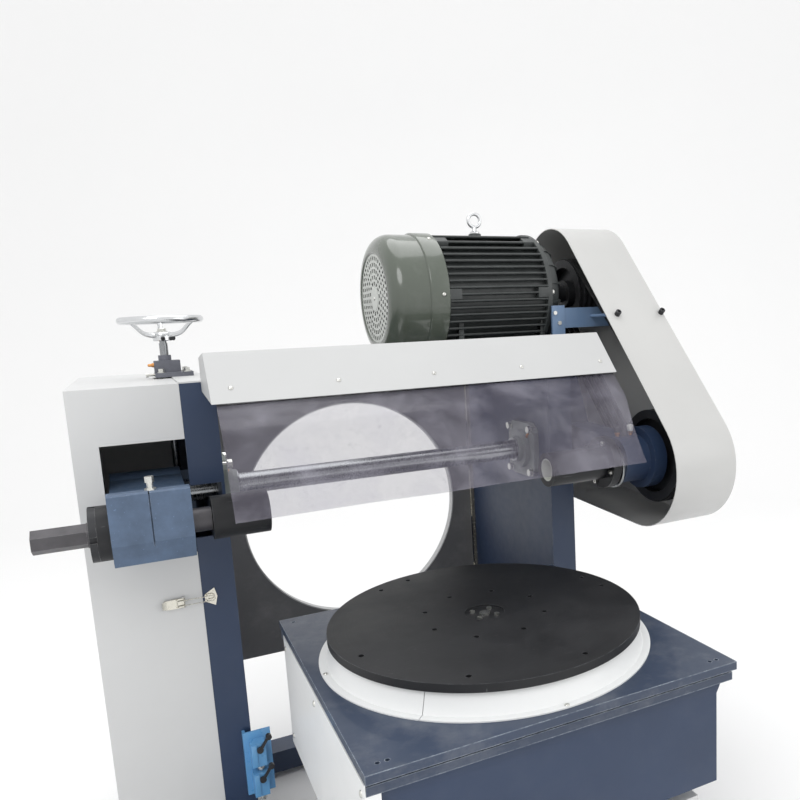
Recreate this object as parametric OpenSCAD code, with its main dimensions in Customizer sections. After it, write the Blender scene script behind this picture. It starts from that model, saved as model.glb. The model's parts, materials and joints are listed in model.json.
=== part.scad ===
// Rotary-table polishing machine with a swinging wheel head.
// X runs along the wheel spindle to the right, Y to the back, Z up.
// The origin is on the floor, under the turntable's axis.

/* [Turntable] */
// Height of the turntable's face above the floor
table_h = 900; // [880:5:920]
// Diameter of the turntable
disc_d = 800; // [740:10:800]
// Thickness of the turntable
disc_t = 20; // [16:1:22]
// Bolt circle for work fixtures on the turntable
fixture_pcd = 313; // [250:1:400]
// Diameter of the turntable's fixture holes
fixture_hole = 14; // [10:1:18]

/* [Table] */
// Width of the table plates
plate_w = 900; // [880:10:900]
// Front edge of the table plates
plate_front = -443; // [-446:1:-440]
// Rear edge of the table plates
plate_rear = 437; // [434:1:440]
// Thickness of each table plate
plate_t = 20; // [16:1:22]
// Outer radius of the skirt's flange
skirt_r = 424; // [420:1:428]

/* [Columns] */
// Front face of both columns
col_front = 448; // [446:1:456]
// Rear face of both columns
col_rear = 1200; // [1180:5:1200]
// Top of the left post
col_top = 1518; // [1510:1:1524]
// Top of the right column
rcol_top = 1455; // [1440:1:1456]
// Left face of the right column
rcol_x = 461.4; // [460:0.1:464]
// Width of the right column
rcol_w = 87.2; // [80:0.1:90]
// Right face of the left post
post_x = -554.5; // [-560:0.5:-550]
// Width of the left post
post_w = 86.5; // [80:0.5:90]
// Thickness of the post's plates
wall = 8; // [6:1:10]

/* [Swing head] */
// Y of the cross shaft that the head swings on
pivot_y = 616.5; // [614:0.5:620]
// Height of the cross shaft
pivot_z = 1202.3; // [1200:0.1:1205]
// Diameter of the cross shaft
cross_d = 65; // [60:1:65]
// Y of the wheel spindle
spin_y = 276.5; // [274:0.5:280]
// Height of the wheel spindle
spin_z = 1188.4; // [1186:0.1:1190]
// Outer diameter of both wheel chucks
chuck_d = 105; // [100:1:108]
// Diameter of the wheel seats in the chucks
seat_d = 70; // [60:1:72]
// Diameter of the spindle and of the quill
shaft_d = 60; // [56:1:60]
// Radial running clearance of shafts in their bores
run_gap = 0.05; // [0.02:0.01:0.09]

/* [Drive] */
// Y of the motor's axis
motor_y = 814.4; // [812:0.1:817]
// Shaft height of the motor above its platform
motor_h = 225; // [224:1:226]
// Diameter of the motor's fan cover
fan_d = 420; // [412:1:422]
// Diameter of the motor's pulley
motor_pulley_d = 250; // [240:5:250]
// Diameter of the spindle's pulley
spin_pulley_d = 300; // [280:5:304]
// Width of both pulleys
pulley_w = 100; // [80:1:100]

/* [Hood and guard] */
// Left end of the hood
hood_x0 = -587; // [-588:1:-580]
// Right end of the hood
hood_x1 = 573.5; // [570:0.5:578]
// Left, open side of the belt guard
guard_x0 = 693; // [692:1:696]
// Right side of the belt guard
guard_x1 = 932; // [925:1:936]
// Thickness of the sheet metal
sheet = 3; // [2:0.5:4]

/* [Hidden] */
$fn = 64;
fine = 128;
platform_z = 1512;
motor_z = platform_z + motor_h;
disc_r = disc_d / 2;
plate_top = table_h - 74;
lower_top = plate_top - 30;
body_top = lower_top - plate_t;
body_bot = 511;
cross_r = cross_d / 2;
shaft_r = shaft_d / 2;
chuck_r = chuck_d / 2;
seat_r = seat_d / 2;
pulley_x = 745;
screw_x = -652;
wheel_z = 1691;
duct_x = -30;
duct_z = 953;
duct_r = 408;
door_y = 1137;
hinge_x = 458;
hinge_y = door_y + sheet;
latch_z = 930;
latch_x = -690;
latch_y = 441.5;
cover_x0 = -904;
cover_x1 = post_x - post_w - 0.5;
housing_x0 = -832;
housing_w = 177;
quill_x0 = -994;
chuck_x0 = -609;
chuck_w = 136;
flange_x = 547;
flange_w = 28;
arm_x = 600;
belt_t = 5;
nut_x = -876;
clamp_r = 66;

// ---- shapes that repeat ----

// A bar along X from x0, round, with an optional bore right through it.
module rod_x(x0, len, r, bore = 0, f = $fn) {
    translate([x0, 0, 0]) rotate([0, 90, 0]) difference() {
        cylinder(h = len, r = r, $fn = f);
        if (bore > 0) translate([0, 0, -1]) cylinder(h = len + 2, r = bore, $fn = f);
    }
}

// A bar along Y from y0.
module rod_y(y0, len, r) {
    translate([0, y0, 0]) rotate([-90, 0, 0]) cylinder(h = len, r = r);
}

// A prism along X from x0 with a YZ outline.
module prism_x(x0, len) {
    translate([x0, 0, 0]) rotate([90, 0, 90]) linear_extrude(len) children();
}

// A hexagon-head screw along -X at (x, y, z): its head lies on the left of x.
module hex_x(x, y, z, r, t) {
    translate([x - t, y, z]) rotate([0, 90, 0]) cylinder(h = t, r = r, $fn = 6);
}

// A low round-head screw standing on a face whose normal is +Z.
module dome(r, t) {
    intersection() {
        cylinder(h = t, r = r);
        translate([0, 0, t - 2 * r]) sphere(r = 2 * r);
    }
}

// Cut-away box from low corner a to high corner b.
module span(a, b) {
    translate(a) cube(b - a);
}

// ---- fixed frame ----

module base_frame() color("#3a4a66") {
    difference() {
        union() {
            for (x = [-690, 505]) span([x - 60, -360, 20], [x + 60, col_rear, 100]);
            for (y = [-300, 0, 300, 1080]) span([-630, y - 50, 20], [445, y + 50, 100]);
            span([cover_x0, col_front, 20], [-750, col_rear, 100]);
            for (x = [-690, 505], y = [-290, 1120])
                translate([x, y, 0]) cylinder(h = 20, r = 60);
            cylinder(h = 20, r = 60);
        }
        for (x = [-690, 505], y = [-290, 1120])
            translate([x, y, -1]) cylinder(h = 102, r = 9);
    }
}

module left_post() color("#3a4a66") difference() {
    span([post_x - post_w, col_front, 100], [post_x, col_rear, col_top]);
    span([post_x - post_w - 1, col_front + wall, 99],
         [post_x - wall, col_rear - wall, col_top + 1]);
    span([post_x - post_w - 1, col_front - 1, 1100], [post_x - wall, col_front + wall + 1, 1245]);
    translate([0, pivot_y, pivot_z]) rod_x(post_x - 20, 40, 45);
}

module right_column() color("#3a4a66") difference() {
    span([rcol_x, col_front, 100], [rcol_x + rcol_w, col_rear, rcol_top]);
    span([rcol_x + wall, col_front + wall, 99],
         [rcol_x + rcol_w - wall, col_rear - wall, rcol_top - wall]);
    translate([0, pivot_y, pivot_z]) rod_x(rcol_x - 10, rcol_w + 20, 45);
}

module post_cap() color("#dcdedc") difference() {
    span([post_x - post_w, col_front, col_top], [post_x, col_rear, col_top + 4]);
    translate([screw_x, motor_y, col_top - 1]) cylinder(h = 8, r = 16);
}

// Bent sheet that hangs over the wheel: sloping front, flat top, back and two ends.
hood_low = 1476;
hood_front = 211;
hood_ridge = [318, 1597];
hood_back = 446;
hood_back_low = 1493;
hood_back_top = 1582;
module hood_outline() {
    polygon([
        [hood_front, hood_low], hood_ridge, [hood_back, hood_back_top], [hood_back, hood_back_low]
    ]);
}
module hood_cavity() {
    polygon([
        [hood_front + sheet * 1.29 - 1.8, hood_low - 2],
        [hood_ridge[0] + sheet * 0.42, hood_ridge[1] - sheet],
        [hood_back - sheet, hood_back_top - sheet], [hood_back - sheet, hood_low - 2]
    ]);
}
module hood() color("#dcdedc") difference() {
    prism_x(hood_x0, hood_x1 - hood_x0) hood_outline();
    prism_x(hood_x0 + sheet, hood_x1 - hood_x0 - 2 * sheet) hood_cavity();
}

// Screws along the hood's lower front edge, square to its sloping face.
hood_tilt = 48.5;
module hood_screws() color("#c8c8c4")
    for (x = [-537, -272, -8, 263, 534])
        translate([x, 242, hood_low + (242 - hood_front) * 1.13 + 0.2])
            rotate([hood_tilt, 0, 0]) dome(6, 3.5);

// Square flange bearing unit whose back lies on a face at x, facing dir.
bearing_half = 93.5;
bolt_half = 74.5;
module flange_bearing(x, dir) color("#9aa39a")
    translate([x, pivot_y, pivot_z]) mirror([dir < 0 ? 1 : 0, 0, 0]) difference() {
        union() {
            prism_x(0, 20) intersection() {
                square(2 * bearing_half, center = true);
                circle(r = 112);
            }
            rod_x(0, 36, 66);
            rod_x(0, 50, 45);
        }
        rod_x(-1, 60, cross_r + run_gap, f = fine);
        for (y = [-1, 1], z = [-1, 1])
            translate([0, y * bolt_half, z * bolt_half]) rod_x(-1, 30, 8.5);
    }
module left_flange_bearing() flange_bearing(post_x, 1);
module right_flange_bearing() flange_bearing(rcol_x, -1);

// Bolts of both flange bearings.
module bearing_bolts(x, dir)
    translate([x, pivot_y, pivot_z]) mirror([dir < 0 ? 1 : 0, 0, 0])
        for (y = [-1, 1], z = [-1, 1]) translate([0, y * bolt_half, z * bolt_half]) {
            rod_x(0, 32, 8);
            rod_x(20, 3, 14);
            translate([23, 0, 0]) rotate([0, 90, 0]) cylinder(h = 11, r = 13, $fn = 6);
        }
base_top = col_top + 17;
block_top = col_top + 52;
boss_top = col_top + 68;
jack_z = base_top - 6;
module frame_bolts() color("#c2c4c0") {
    bearing_bolts(post_x, 1);
    bearing_bolts(rcol_x, -1);
    for (x = [-667, -597], y = [773, 857]) translate([x, y, base_top]) {
        cylinder(h = 2, r = 11);
        translate([0, 0, 2]) cylinder(h = 10, r = 8, $fn = 6);
    }
    translate([0, 800, jack_z]) {
        rod_x(-709, 25, 3.5);
        hex_x(-702, 0, 0, 6.5, 7);
    }
}

// Bracket on the post's top that carries the lead screw.
module screw_bracket() color("#6c7078") difference() {
    union() {
        span([-684, 760, col_top + 4], [-580, 870, base_top]);
        span([-684, 787, base_top], [-612, 843, block_top]);
        translate([screw_x, motor_y, block_top]) cylinder(h = boss_top - block_top, r = 18);
    }
    translate([screw_x, motor_y, col_top]) cylinder(h = 90, r = 10 + run_gap);
}

module pedestal() color("#d2d4d2") difference() {
    span([-380, -385, 100], [380, 385, 470]);
    span([-376, -381, 99], [376, 381, 460]);
}

rail_y = 250;
module table_rails() color("#b4b8ba")
    for (y = [-rail_y, rail_y]) span([-370, y - 17, 470], [370, y + 17, 492]);

// Two roller-lever limit switches on a bracket in front of the post.
switch_x = -545;
switch_y = 405;
switch_z = [372, 462];
module limit_switches() color("#5b8fc4") {
    span([switch_x - 35, switch_y + 22, 330], [switch_x + 40, switch_y + 27, 520]);
    span([switch_x - 35, switch_y + 27, 330], [switch_x - 27, col_front, 520]);
    for (z = switch_z) difference() {
        span([switch_x - 20, switch_y - 14, z - 35], [switch_x + 20, switch_y + 22, z + 35]);
        translate([switch_x + 4, 0, z + 18]) rod_y(switch_y - 15, 26, 4 + run_gap);
    }
}
module switch_lever(z) color("#26282b") translate([switch_x + 4, 0, z + 18]) {
    rod_y(switch_y - 24, 32, 4);
    difference() {
        rod_y(switch_y - 24, 7, 9);
        rod_y(switch_y - 25, 9, 3.9);
    }
    translate([0, switch_y - 24, 0]) rotate([0, 35, 0]) translate([-4, 0, 8]) cube([8, 4, 34]);
    rotate([0, 35, 0]) translate([0, 0, 44]) rod_y(switch_y - 30, 12, 8);
}
module upper_switch_lever() switch_lever(switch_z[1]);
module lower_switch_lever() switch_lever(switch_z[0]);

module latch_strike() color("#c9c6bb") {
    prism_y(446, 2) polygon([[-636, latch_z - 10], [-610, latch_z - 25],
                             [-604, latch_z], [-610, latch_z + 25], [-636, latch_z + 10]]);
    span([-632, 440, latch_z - 8], [-629, 446, latch_z + 8]);
    for (z = [-14, 14]) translate([-614, 0, latch_z + z]) rod_y(444.5, 2, 3);
}
// A plate with an XZ outline, from y0 towards the back.
module prism_y(y0, t) {
    translate([0, y0 + t, 0]) rotate([90, 0, 0]) linear_extrude(t) children();
}

// Piano hinge: the fixed leaf and its pin, on the right column's left face.
door_low = 440;
door_high = 1490;
hinge_high = 1450;
knuckles = 5;
knuckle_h = (hinge_high - door_low) / knuckles;
module door_hinge() color("#8d9092") {
    span([rcol_x - 1.5, hinge_y - 40, door_low], [rcol_x, hinge_y - 6, hinge_high]);
    translate([hinge_x, hinge_y + 6, door_low]) cylinder(h = hinge_high - door_low, r = 1.45);
    for (i = [0 : 2 : knuckles - 1]) {
        translate([hinge_x, hinge_y + 6, door_low + i * knuckle_h + 1])
            cylinder(h = knuckle_h - 2, r = 3);
        span([hinge_x, hinge_y + 3.5, door_low + i * knuckle_h + 1],
             [rcol_x, hinge_y + 5, door_low + (i + 1) * knuckle_h - 1]);
        span([rcol_x - 1.5, hinge_y - 8, door_low + i * knuckle_h + 1],
             [rcol_x, hinge_y + 5, door_low + (i + 1) * knuckle_h - 1]);
    }
}

// ---- table ----

module corner_holes(z, h) for (x = [-1, 1], d = [0, 20])
    translate([x * (416 - d), plate_front + 33, z]) cylinder(h = h, r = 5);

module table_top_plate() color("#3a4a66") difference() {
    span([-plate_w / 2, plate_front, plate_top - plate_t], [plate_w / 2, plate_rear, plate_top]);
    translate([0, 0, plate_top - 40]) cylinder(h = 60, r = 75);
    corner_holes(plate_top - 15, 20);
    for (x = [-1, 1]) translate([x * 416, plate_rear - 33, plate_top - 15])
        cylinder(h = 20, r = 5);
}
module table_lower_plate() color("#3a4a66") {
    difference() {
        span([-plate_w / 2 + 3, plate_front + 12, body_top], [plate_w / 2 - 3, plate_rear, lower_top]);
        translate([0, 0, body_top - 1]) cylinder(h = 30, r = 75);
    }
    difference() {
        span([-plate_w / 2 + 12, plate_front + 22, lower_top],
             [plate_w / 2 - 12, plate_rear - 10, plate_top - plate_t]);
        span([-plate_w / 2 + 60, plate_front + 70, lower_top - 1],
             [plate_w / 2 - 60, plate_rear - 60, plate_top]);
    }
}
module table_body() color("#3a4a66") {
    difference() {
        span([-418, -409, body_bot], [418, 405, body_top]);
        span([-412, -403, body_bot + 6], [412, 399, body_top + 1]);
        translate([0, 0, body_bot - 1]) cylinder(h = 10, r = 60);
    }
    for (y = [plate_front + 40, 380]) prism_y(y, 8)
        polygon([[418, body_top], [445, body_top], [418, body_top - 50]]);
}
module side_panel() color("#dcdedc") {
    span([-plate_w / 2, -430, 480], [-plate_w / 2 + 2.5, 385, lower_top + 4]);
    for (y = [-430, 382.5]) span([-plate_w / 2, y, 480], [-418, y + 2.5, body_top]);
}

// Two halves of the sheet skirt round the turntable: flange, fold and cone.
seam_angle = 226;
skirt_in = 405;
module skirt(half) color("#e8eae8") difference() {
    rotate_extrude($fn = fine) polygon([
        [skirt_in - 3, plate_top], [skirt_r, plate_top], [skirt_r, plate_top + 3],
        [skirt_in + 1, plate_top + 3], [387, table_h - 26], [384, table_h - 26]
    ]);
    rotate([0, 0, seam_angle]) translate([-500, half > 0 ? -500 : -0.8, plate_top - 1])
        cube([1000, 500 + 0.8, 60]);
}
module skirt_left() skirt(1);
module skirt_right() skirt(-1);

module table_screws() color("#c8c8c4") {
    for (a = [178, 270, 20, 90]) rotate([0, 0, a]) translate([415, 0, plate_top + 3.1]) dome(6, 3.5);
    for (p = [[-405, 770], [-405, 510], [0, 770], [360, 770], [360, 510], [0, 510]])
        translate([-plate_w / 2 - 0.1, p[0], p[1]]) rotate([0, -90, 0]) dome(7, 3.5);
}
module bearing_housing() color("#6f7673") difference() {
    union() {
        translate([0, 0, plate_top]) cylinder(h = 10, r = 190);
        translate([0, 0, plate_top]) cylinder(h = table_h - disc_t - 6 - plate_top, r = 120);
    }
    translate([0, 0, plate_top - 1]) cylinder(h = 60, r = 40 + run_gap, $fn = fine);
}
module gear_reducer() color("#4a5a52") difference() {
    union() {
        span([-110, -110, 540], [110, 110, 745]);
        translate([0, 0, 745]) cylinder(h = 20, r = 70);
        translate([110, 0, 640]) rod_x(0, 40, 80);
        span([-150, -110, 517], [150, 110, 540]);
    }
    translate([0, 0, 560]) cylinder(h = 220, r = 40 + run_gap, $fn = fine);
}
module table_motor() color("#3d4a40") translate([150, 0, 640]) {
    rod_x(0, 180, 72);
    rod_x(180, 50, 76);
    span([30, -50, 70], [120, 50, 100]);
}
module rail_carriages() color("#8f9496")
    for (x = [-220, 220], y = [-rail_y, rail_y]) difference() {
        span([x - 60, y - 35, 474], [x + 60, y + 35, body_bot]);
        span([x - 61, y - 17.6, 473], [x + 61, y + 17.6, 492.8]);
    }

// ---- turntable ----

module turntable_disc() color("#1d1f22") difference() {
    translate([0, 0, table_h - disc_t]) cylinder(h = disc_t, r = disc_r, $fn = fine);
    translate([0, 0, table_h - 5]) cylinder(h = 10, r = 52.5);
    for (i = [0 : 7]) rotate([0, 0, 103.4 - 45 * i])
        translate([fixture_pcd / 2, 0, table_h - 40]) cylinder(h = 60, r = fixture_hole / 2);
    for (i = [0 : 3]) rotate([0, 0, 14 + 90 * i])
        translate([362, 0, table_h - 40]) cylinder(h = 60, r = 7);
    for (i = [0 : 2]) rotate([0, 0, 120 * i])
        translate([362, 0, table_h - 40]) cylinder(h = 60, r = 7);
}
module turntable_shaft() color("#8c9094") {
    translate([0, 0, 570]) cylinder(h = table_h - disc_t - 5 - 570, r = 40, $fn = fine);
    translate([0, 0, table_h - disc_t - 5]) cylinder(h = 5, r = 110);
}
module turntable_bolts() color("#c2c4c0") {
    for (a = [45 : 90 : 315]) rotate([0, 0, a]) translate([34, 0, table_h - 5]) difference() {
        cylinder(h = 5, r = 7);
        translate([0, 0, 2]) cylinder(h = 4, r = 3.5, $fn = 6);
    }
    translate([0, 0, table_h - 5]) cylinder(h = 4, r = 14);
}

// ---- swing head ----

module cross_shaft() color("#9a9ea2") translate([0, pivot_y, pivot_z])
    rod_x(-835, 1525, cross_r, f = fine);

// Left arm: clamp housing for the quill, hub on the cross shaft, tail for the screw.
slot_w = 34;
groove_x = housing_x0 + 87;
module left_arm() color("#44587a") difference() {
    union() {
        prism_x(housing_x0, housing_w) polygon([
            [spin_y - 86.5, spin_z + 98], [spin_y - 82, spin_z + 102], [spin_y - 52, spin_z + 102],
            [spin_y + 95, spin_z + 64], [pivot_y, pivot_z + 60], [pivot_y, pivot_z - 60],
            [spin_y + 95, spin_z - 84], [spin_y - 30, spin_z - 80],
            [spin_y - 61, spin_z - 73], [spin_y - 86.5, spin_z - 18]
        ]);
        translate([0, pivot_y, pivot_z]) rod_x(housing_x0, housing_w, 72);
        prism_x(-690, 68) polygon([
            [pivot_y, pivot_z + 60], [motor_y + 34, pivot_z + 18],
            [motor_y + 34, pivot_z - 18], [pivot_y, pivot_z - 60]
        ]);
    }
    translate([0, pivot_y, pivot_z]) rod_x(housing_x0 - 1, 212, cross_r, f = fine);
    translate([0, spin_y, spin_z]) rod_x(housing_x0 - 1, 180, shaft_r + run_gap, f = fine);
    span([groove_x, spin_y - 2, spin_z], [groove_x + 3, spin_y + 60, spin_z + 120]);
    span([groove_x, spin_y - 90, spin_z - 61], [groove_x + 3, spin_y - 80.5, spin_z + 110]);
    span([groove_x, spin_y - 90, spin_z + 94], [groove_x + 3, spin_y, spin_z + 110]);
    span([screw_x - slot_w / 2, motor_y - 24, pivot_z - 60],
         [screw_x + slot_w / 2, motor_y + 24, pivot_z + 60]);
}

// Clamp screw on the left arm, bolts of the guard's bracket and of the motor's feet.
foot_x = [228, 539];
foot_y = 178;
plate_y = 596;
module head_bolts() color("#c2c4c0") {
    translate([groove_x + 6, spin_y - 67, spin_z + 102]) {
        cylinder(h = 4, r = 13);
        translate([0, 0, 4]) cylinder(h = 14, r = 7);
        translate([0, 0, 18]) cylinder(h = 14, r = 10, $fn = 6);
    }
    for (p = [[584, 1665], [601, 1630]]) translate([p[0], 0, p[1]]) rod_y(plate_y - 5, 5, 7);
    for (x = foot_x, y = [-1, 1])
        translate([x, motor_y + y * foot_y, platform_z + 18]) cylinder(h = 12, r = 13.5, $fn = 6);
}
module quill_collar() color("#232529") translate([0, spin_y, spin_z])
    rod_x(housing_x0 - 27.5, 27.5, clamp_r, shaft_r + run_gap, f = fine);

// Right arm: hub on the cross shaft, neck to the spindle housing, post to the motor.
module right_arm() color("#3a4a66") difference() {
    union() {
        prism_x(arm_x, 90) polygon([
            [spin_y - 20, spin_z + 72], [pivot_y - 50, pivot_z + 75], [660, platform_z - 15],
            [960, platform_z - 15], [pivot_y + 72, pivot_z], [pivot_y, pivot_z - 72],
            [spin_y, spin_z - 75]
        ]);
        translate([0, pivot_y, pivot_z]) rod_x(560, 130, 72);
        translate([0, spin_y, spin_z]) rod_x(arm_x, 90, 75);
        translate([0, spin_y, spin_z]) rod_x(arm_x + 90, 45, 100);
    }
    translate([0, pivot_y, pivot_z]) rod_x(559, 132, cross_r, f = fine);
    translate([0, spin_y, spin_z]) rod_x(arm_x - 1, 140, shaft_r + run_gap, f = fine);
}
module spindle_end_plate() color("#c9ccca") difference() {
    union() {
        translate([0, spin_y + 9, spin_z - 16]) rod_x(arm_x - 8, 8, 72);
        prism_x(arm_x - 8, 8) polygon([
            [spin_y + 14, spin_z + 54], [443, 1222], [443, 1120], [spin_y + 26, 1106]
        ]);
    }
    translate([0, spin_y, spin_z]) rod_x(arm_x - 20, 40, shaft_r + run_gap, f = fine);
}
module oil_cups() color("#b9793f") translate([0, spin_y + 4, spin_z + 75]) {
    for (x = [618, 668]) translate([x, 0, 0]) {
        cylinder(h = 12, r = 7);
        translate([0, 0, 12]) cylinder(h = 8, r = 10, $fn = 6);
        translate([0, 0, 20]) cylinder(h = 16, r = 12);
    }
    translate([642, 0, 0]) cylinder(h = 22, r = 14);
}
module motor_platform() color("#3a4a66") {
    span([206, 590, platform_z - 15], [690, 1040, platform_z]);
    span([578, plate_y + 8, platform_z], [616, plate_y + 20, 1680]);
}

// Totally enclosed motor: finned body, drive-end shield with its hub, and four feet.
body_x = [200, 569];
core_r = 190;
fin_r = 214;
fin_gap = 22;
boss_x = 392.5;
module motor_frame() color("#2e3a36") {
    translate([0, motor_y, motor_z]) difference() {
        union() {
            rod_x(body_x[0], body_x[1] - body_x[0], core_r);
            for (x = [body_x[0], body_x[1] - 6]) rod_x(x, 10, fin_r);
            intersection() {
                rod_x(body_x[0], body_x[1] - body_x[0], fin_r);
                for (i = [-9 : 9]) span([body_x[0], -fin_r, i * fin_gap - 2],
                                        [body_x[1], fin_r, i * fin_gap + 2]);
            }
            rod_x(body_x[1], 82, core_r + 4);
            rod_x(body_x[1], 107, 100);
            translate([boss_x, 0, 0]) cylinder(h = 217, r = 22);
        }
        rod_x(640, 40, 30 + run_gap, f = fine);
    }
    for (x = foot_x, y = [-1, 1]) translate([x, motor_y + y * foot_y, 0]) {
        span([-20, -28, platform_z], [34, 34, platform_z + 18]);
        span([15, -20, platform_z + 18], [34, 18, platform_z + 110]);
    }
}
// Fan cover: a spun cap with a rounded shoulder, open towards the fins, holes in its rear face.
cover_x = 8;
step_x = 135;
shoulder = 56;
module cover_profile(t) polygon(concat(
    [[0, cover_x + t]],
    [for (a = [90 : -15 : 0]) [fan_d / 2 - shoulder + (shoulder - t) * cos(a),
                               cover_x + shoulder - (shoulder - t) * sin(a)]],
    [[fan_d / 2 - t, step_x + t], [fan_d / 2 + 6 - t, step_x + t],
     [fan_d / 2 + 6 - t, body_x[0] + t], [0, body_x[0] + t]]));
module fan_cover() color("#5f695f") translate([0, motor_y, motor_z]) rotate([0, 90, 0])
    difference() {
        rotate_extrude($fn = 72) cover_profile(0);
        rotate_extrude($fn = 72) cover_profile(sheet);
        for (i = [0 : 3]) for (j = [0 : 11 + 6 * i])
            rotate([0, 0, 360 * j / (12 + 6 * i)]) translate([50 + 24 * i, 0, 0])
                cylinder(h = 30, r = 7, $fn = 24);
    }
module eyebolt() color("#c6c6bf") translate([boss_x, motor_y, motor_z + 217]) {
    cylinder(h = 7, r = 17);
    cylinder(h = 19, r = 9);
    translate([0, 0, 46]) rotate([90, 0, 0]) rotate_extrude() translate([22.5, 0, 0])
        circle(r = 6.5, $fn = 32);
}

// Outline of the belt guard: the hull of one upper and two lower circles.
module guard_outline(t) hull() {
    translate([814.4, 1784.3]) circle(r = 192 - t, $fn = 72);
    translate([275.2, 1159.3]) circle(r = 199.6 - t, $fn = 72);
    translate([754.7, 1162.5]) circle(r = 184 - t, $fn = 72);
}
module guard_shell() color("#d9dad6") difference() {
    prism_x(guard_x0, guard_x1 - guard_x0) guard_outline(0);
    prism_x(guard_x0 - 1, guard_x1 - guard_x0 - sheet + 1) guard_outline(sheet);
}
stay_x = [737, 920];
stay_z = 1650;
stay_y = 450.2;
guard_tilt = 48.69;
module guard_bracket() color("#6f8fb8") {
    span([574, plate_y, 1590], [624, plate_y + 8, 1690]);
    span([616, plate_y + 4, 1612], [guard_x1 - sheet, plate_y + 12, 1681]);
    for (x = stay_x) translate([x, 0, stay_z]) rod_y(stay_y, plate_y + 4 - stay_y, 6);
}
module guard_knobs() color("#1c1d1f") for (x = stay_x)
    translate([x, 440.7, stay_z]) rotate([guard_tilt, 0, 0])
        cylinder(h = 17, r = 11, $fn = 24);

// Loop of belts round both pulleys, seen from the side.
module belt_outline(t) hull() {
    translate([spin_y, spin_z]) circle(r = spin_pulley_d / 2 + t, $fn = 60);
    translate([motor_y, motor_z]) circle(r = motor_pulley_d / 2 + t, $fn = 60);
}
module drive_belts() color("#1b1c1e") prism_x(pulley_x + 8, pulley_w - 16) difference() {
    belt_outline(belt_t);
    belt_outline(0.6);
}

// ---- spindle, motor shaft, quill ----

module spindle_shaft() color("#202226") translate([0, spin_y, spin_z]) difference() {
    union() {
        rod_x(352, 196, chuck_r, f = fine);
        rod_x(flange_x, flange_w, 82, f = fine);
        rod_x(flange_x, 310, shaft_r, f = fine);
    }
    rod_x(351, 121, seat_r, f = fine);
}
module spindle_bolts() color("#bfc1bd") translate([0, spin_y, spin_z])
    for (a = [20 : 90 : 290]) rotate([a, 0, 0]) translate([0, 67.5, 0]) difference() {
        rod_x(flange_x - 8, 8, 7.5);
        translate([flange_x - 9, 0, 0]) rotate([0, 90, 0]) cylinder(h = 5, r = 4, $fn = 6);
    }

// V-belt pulley: rim with four grooves, web and hub, as one turned profile.
groove_w = 17;
groove_d = 12;
module pulley(r, bore) rotate([0, 90, 0]) rotate_extrude($fn = fine) polygon(concat(
    [[bore, 0], [50, 0], [50, 30], [r - 28, 30], [r - 28, 0], [r, 0]],
    [for (x = [14 : 24 : 86], p = [[0, -groove_w / 2], [groove_d, -4], [groove_d, 4], [0, groove_w / 2]])
        [r - p[0], x + p[1]]],
    [[r, pulley_w], [r - 28, pulley_w], [r - 28, pulley_w - 30], [50, pulley_w - 30],
     [50, pulley_w], [bore, pulley_w]]));
module spindle_pulley() color("#26282b")
    translate([pulley_x, spin_y, spin_z]) pulley(spin_pulley_d / 2, shaft_r);
module motor_pulley() color("#26282b") translate([0, motor_y, motor_z]) {
    translate([pulley_x, 0, 0]) pulley(motor_pulley_d / 2, 29.9);
    rod_x(642, pulley_x + pulley_w - 632, 30, f = fine);
}

// Quill: hexagon drive end, ground shaft and the nose that carries the tail chuck.
nose_r = 26;
module quill_bar() color("#3b3a40") translate([0, spin_y, spin_z]) {
    translate([quill_x0, 0, 0]) rotate([0, 90, 0]) cylinder(h = 112, r = 28.9, $fn = 6);
    rod_x(-882, 882 + chuck_x0 - 1, shaft_r, f = fine);
    rod_x(chuck_x0 - 2, 72, nose_r, f = fine);
}
module tail_chuck() color("#202226") translate([0, spin_y, spin_z]) difference() {
    rod_x(chuck_x0, chuck_w, chuck_r + 2, f = fine);
    rod_x(chuck_x0 - 1, 76, nose_r + run_gap, f = fine);
    rod_x(chuck_x0 + chuck_w - 55, 60, seat_r, f = fine);
}
module quill_locknut() color("#3a3b3e") translate([0, spin_y, spin_z]) difference() {
    rod_x(nut_x, 16, clamp_r, shaft_r + run_gap, f = fine);
    for (a = [0 : 90 : 270]) rotate([a, 0, 0]) span([nut_x - 1, -7, 57], [nut_x + 17, 7, 70]);
}

// ---- handwheel and lead screw ----

rim_r = 109;
hub_low = -69;
module handwheel() color("#c9cbcc") translate([screw_x, motor_y, wheel_z]) {
    rotate_extrude($fn = fine) translate([rim_r, 0, 0]) circle(r = 10.5, $fn = 32);
    difference() {
        union() {
            translate([0, 0, hub_low]) cylinder(h = 25, r = 27);
            for (a = [90 : 120 : 330]) rotate([0, 0, a]) rotate([90, 0, 0])
                translate([0, 0, -7]) linear_extrude(14) polygon([
                    [12, -58], [30, -58], [72, -34], [103, -5], [103, 5], [68, -24], [30, -46], [12, -46]
                ]);
        }
        translate([0, 0, hub_low - 1]) cylinder(h = 60, r = 10);
    }
    for (a = [0, 60]) translate([0, 0, hub_low + 12]) rotate([100, 0, a])
        translate([0, 0, 24]) cylinder(h = 14, r = 6);
}
module lead_screw() color("#aeb2b4") translate([screw_x, motor_y, 0]) {
    translate([0, 0, 1110]) cylinder(h = wheel_z - 44 - 1110, r = 10, $fn = fine);
    translate([0, 0, boss_top + 0.6]) cylinder(h = wheel_z + hub_low - boss_top - 0.6, r = 12);
}

// ---- left cover and its draw latch ----

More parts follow.
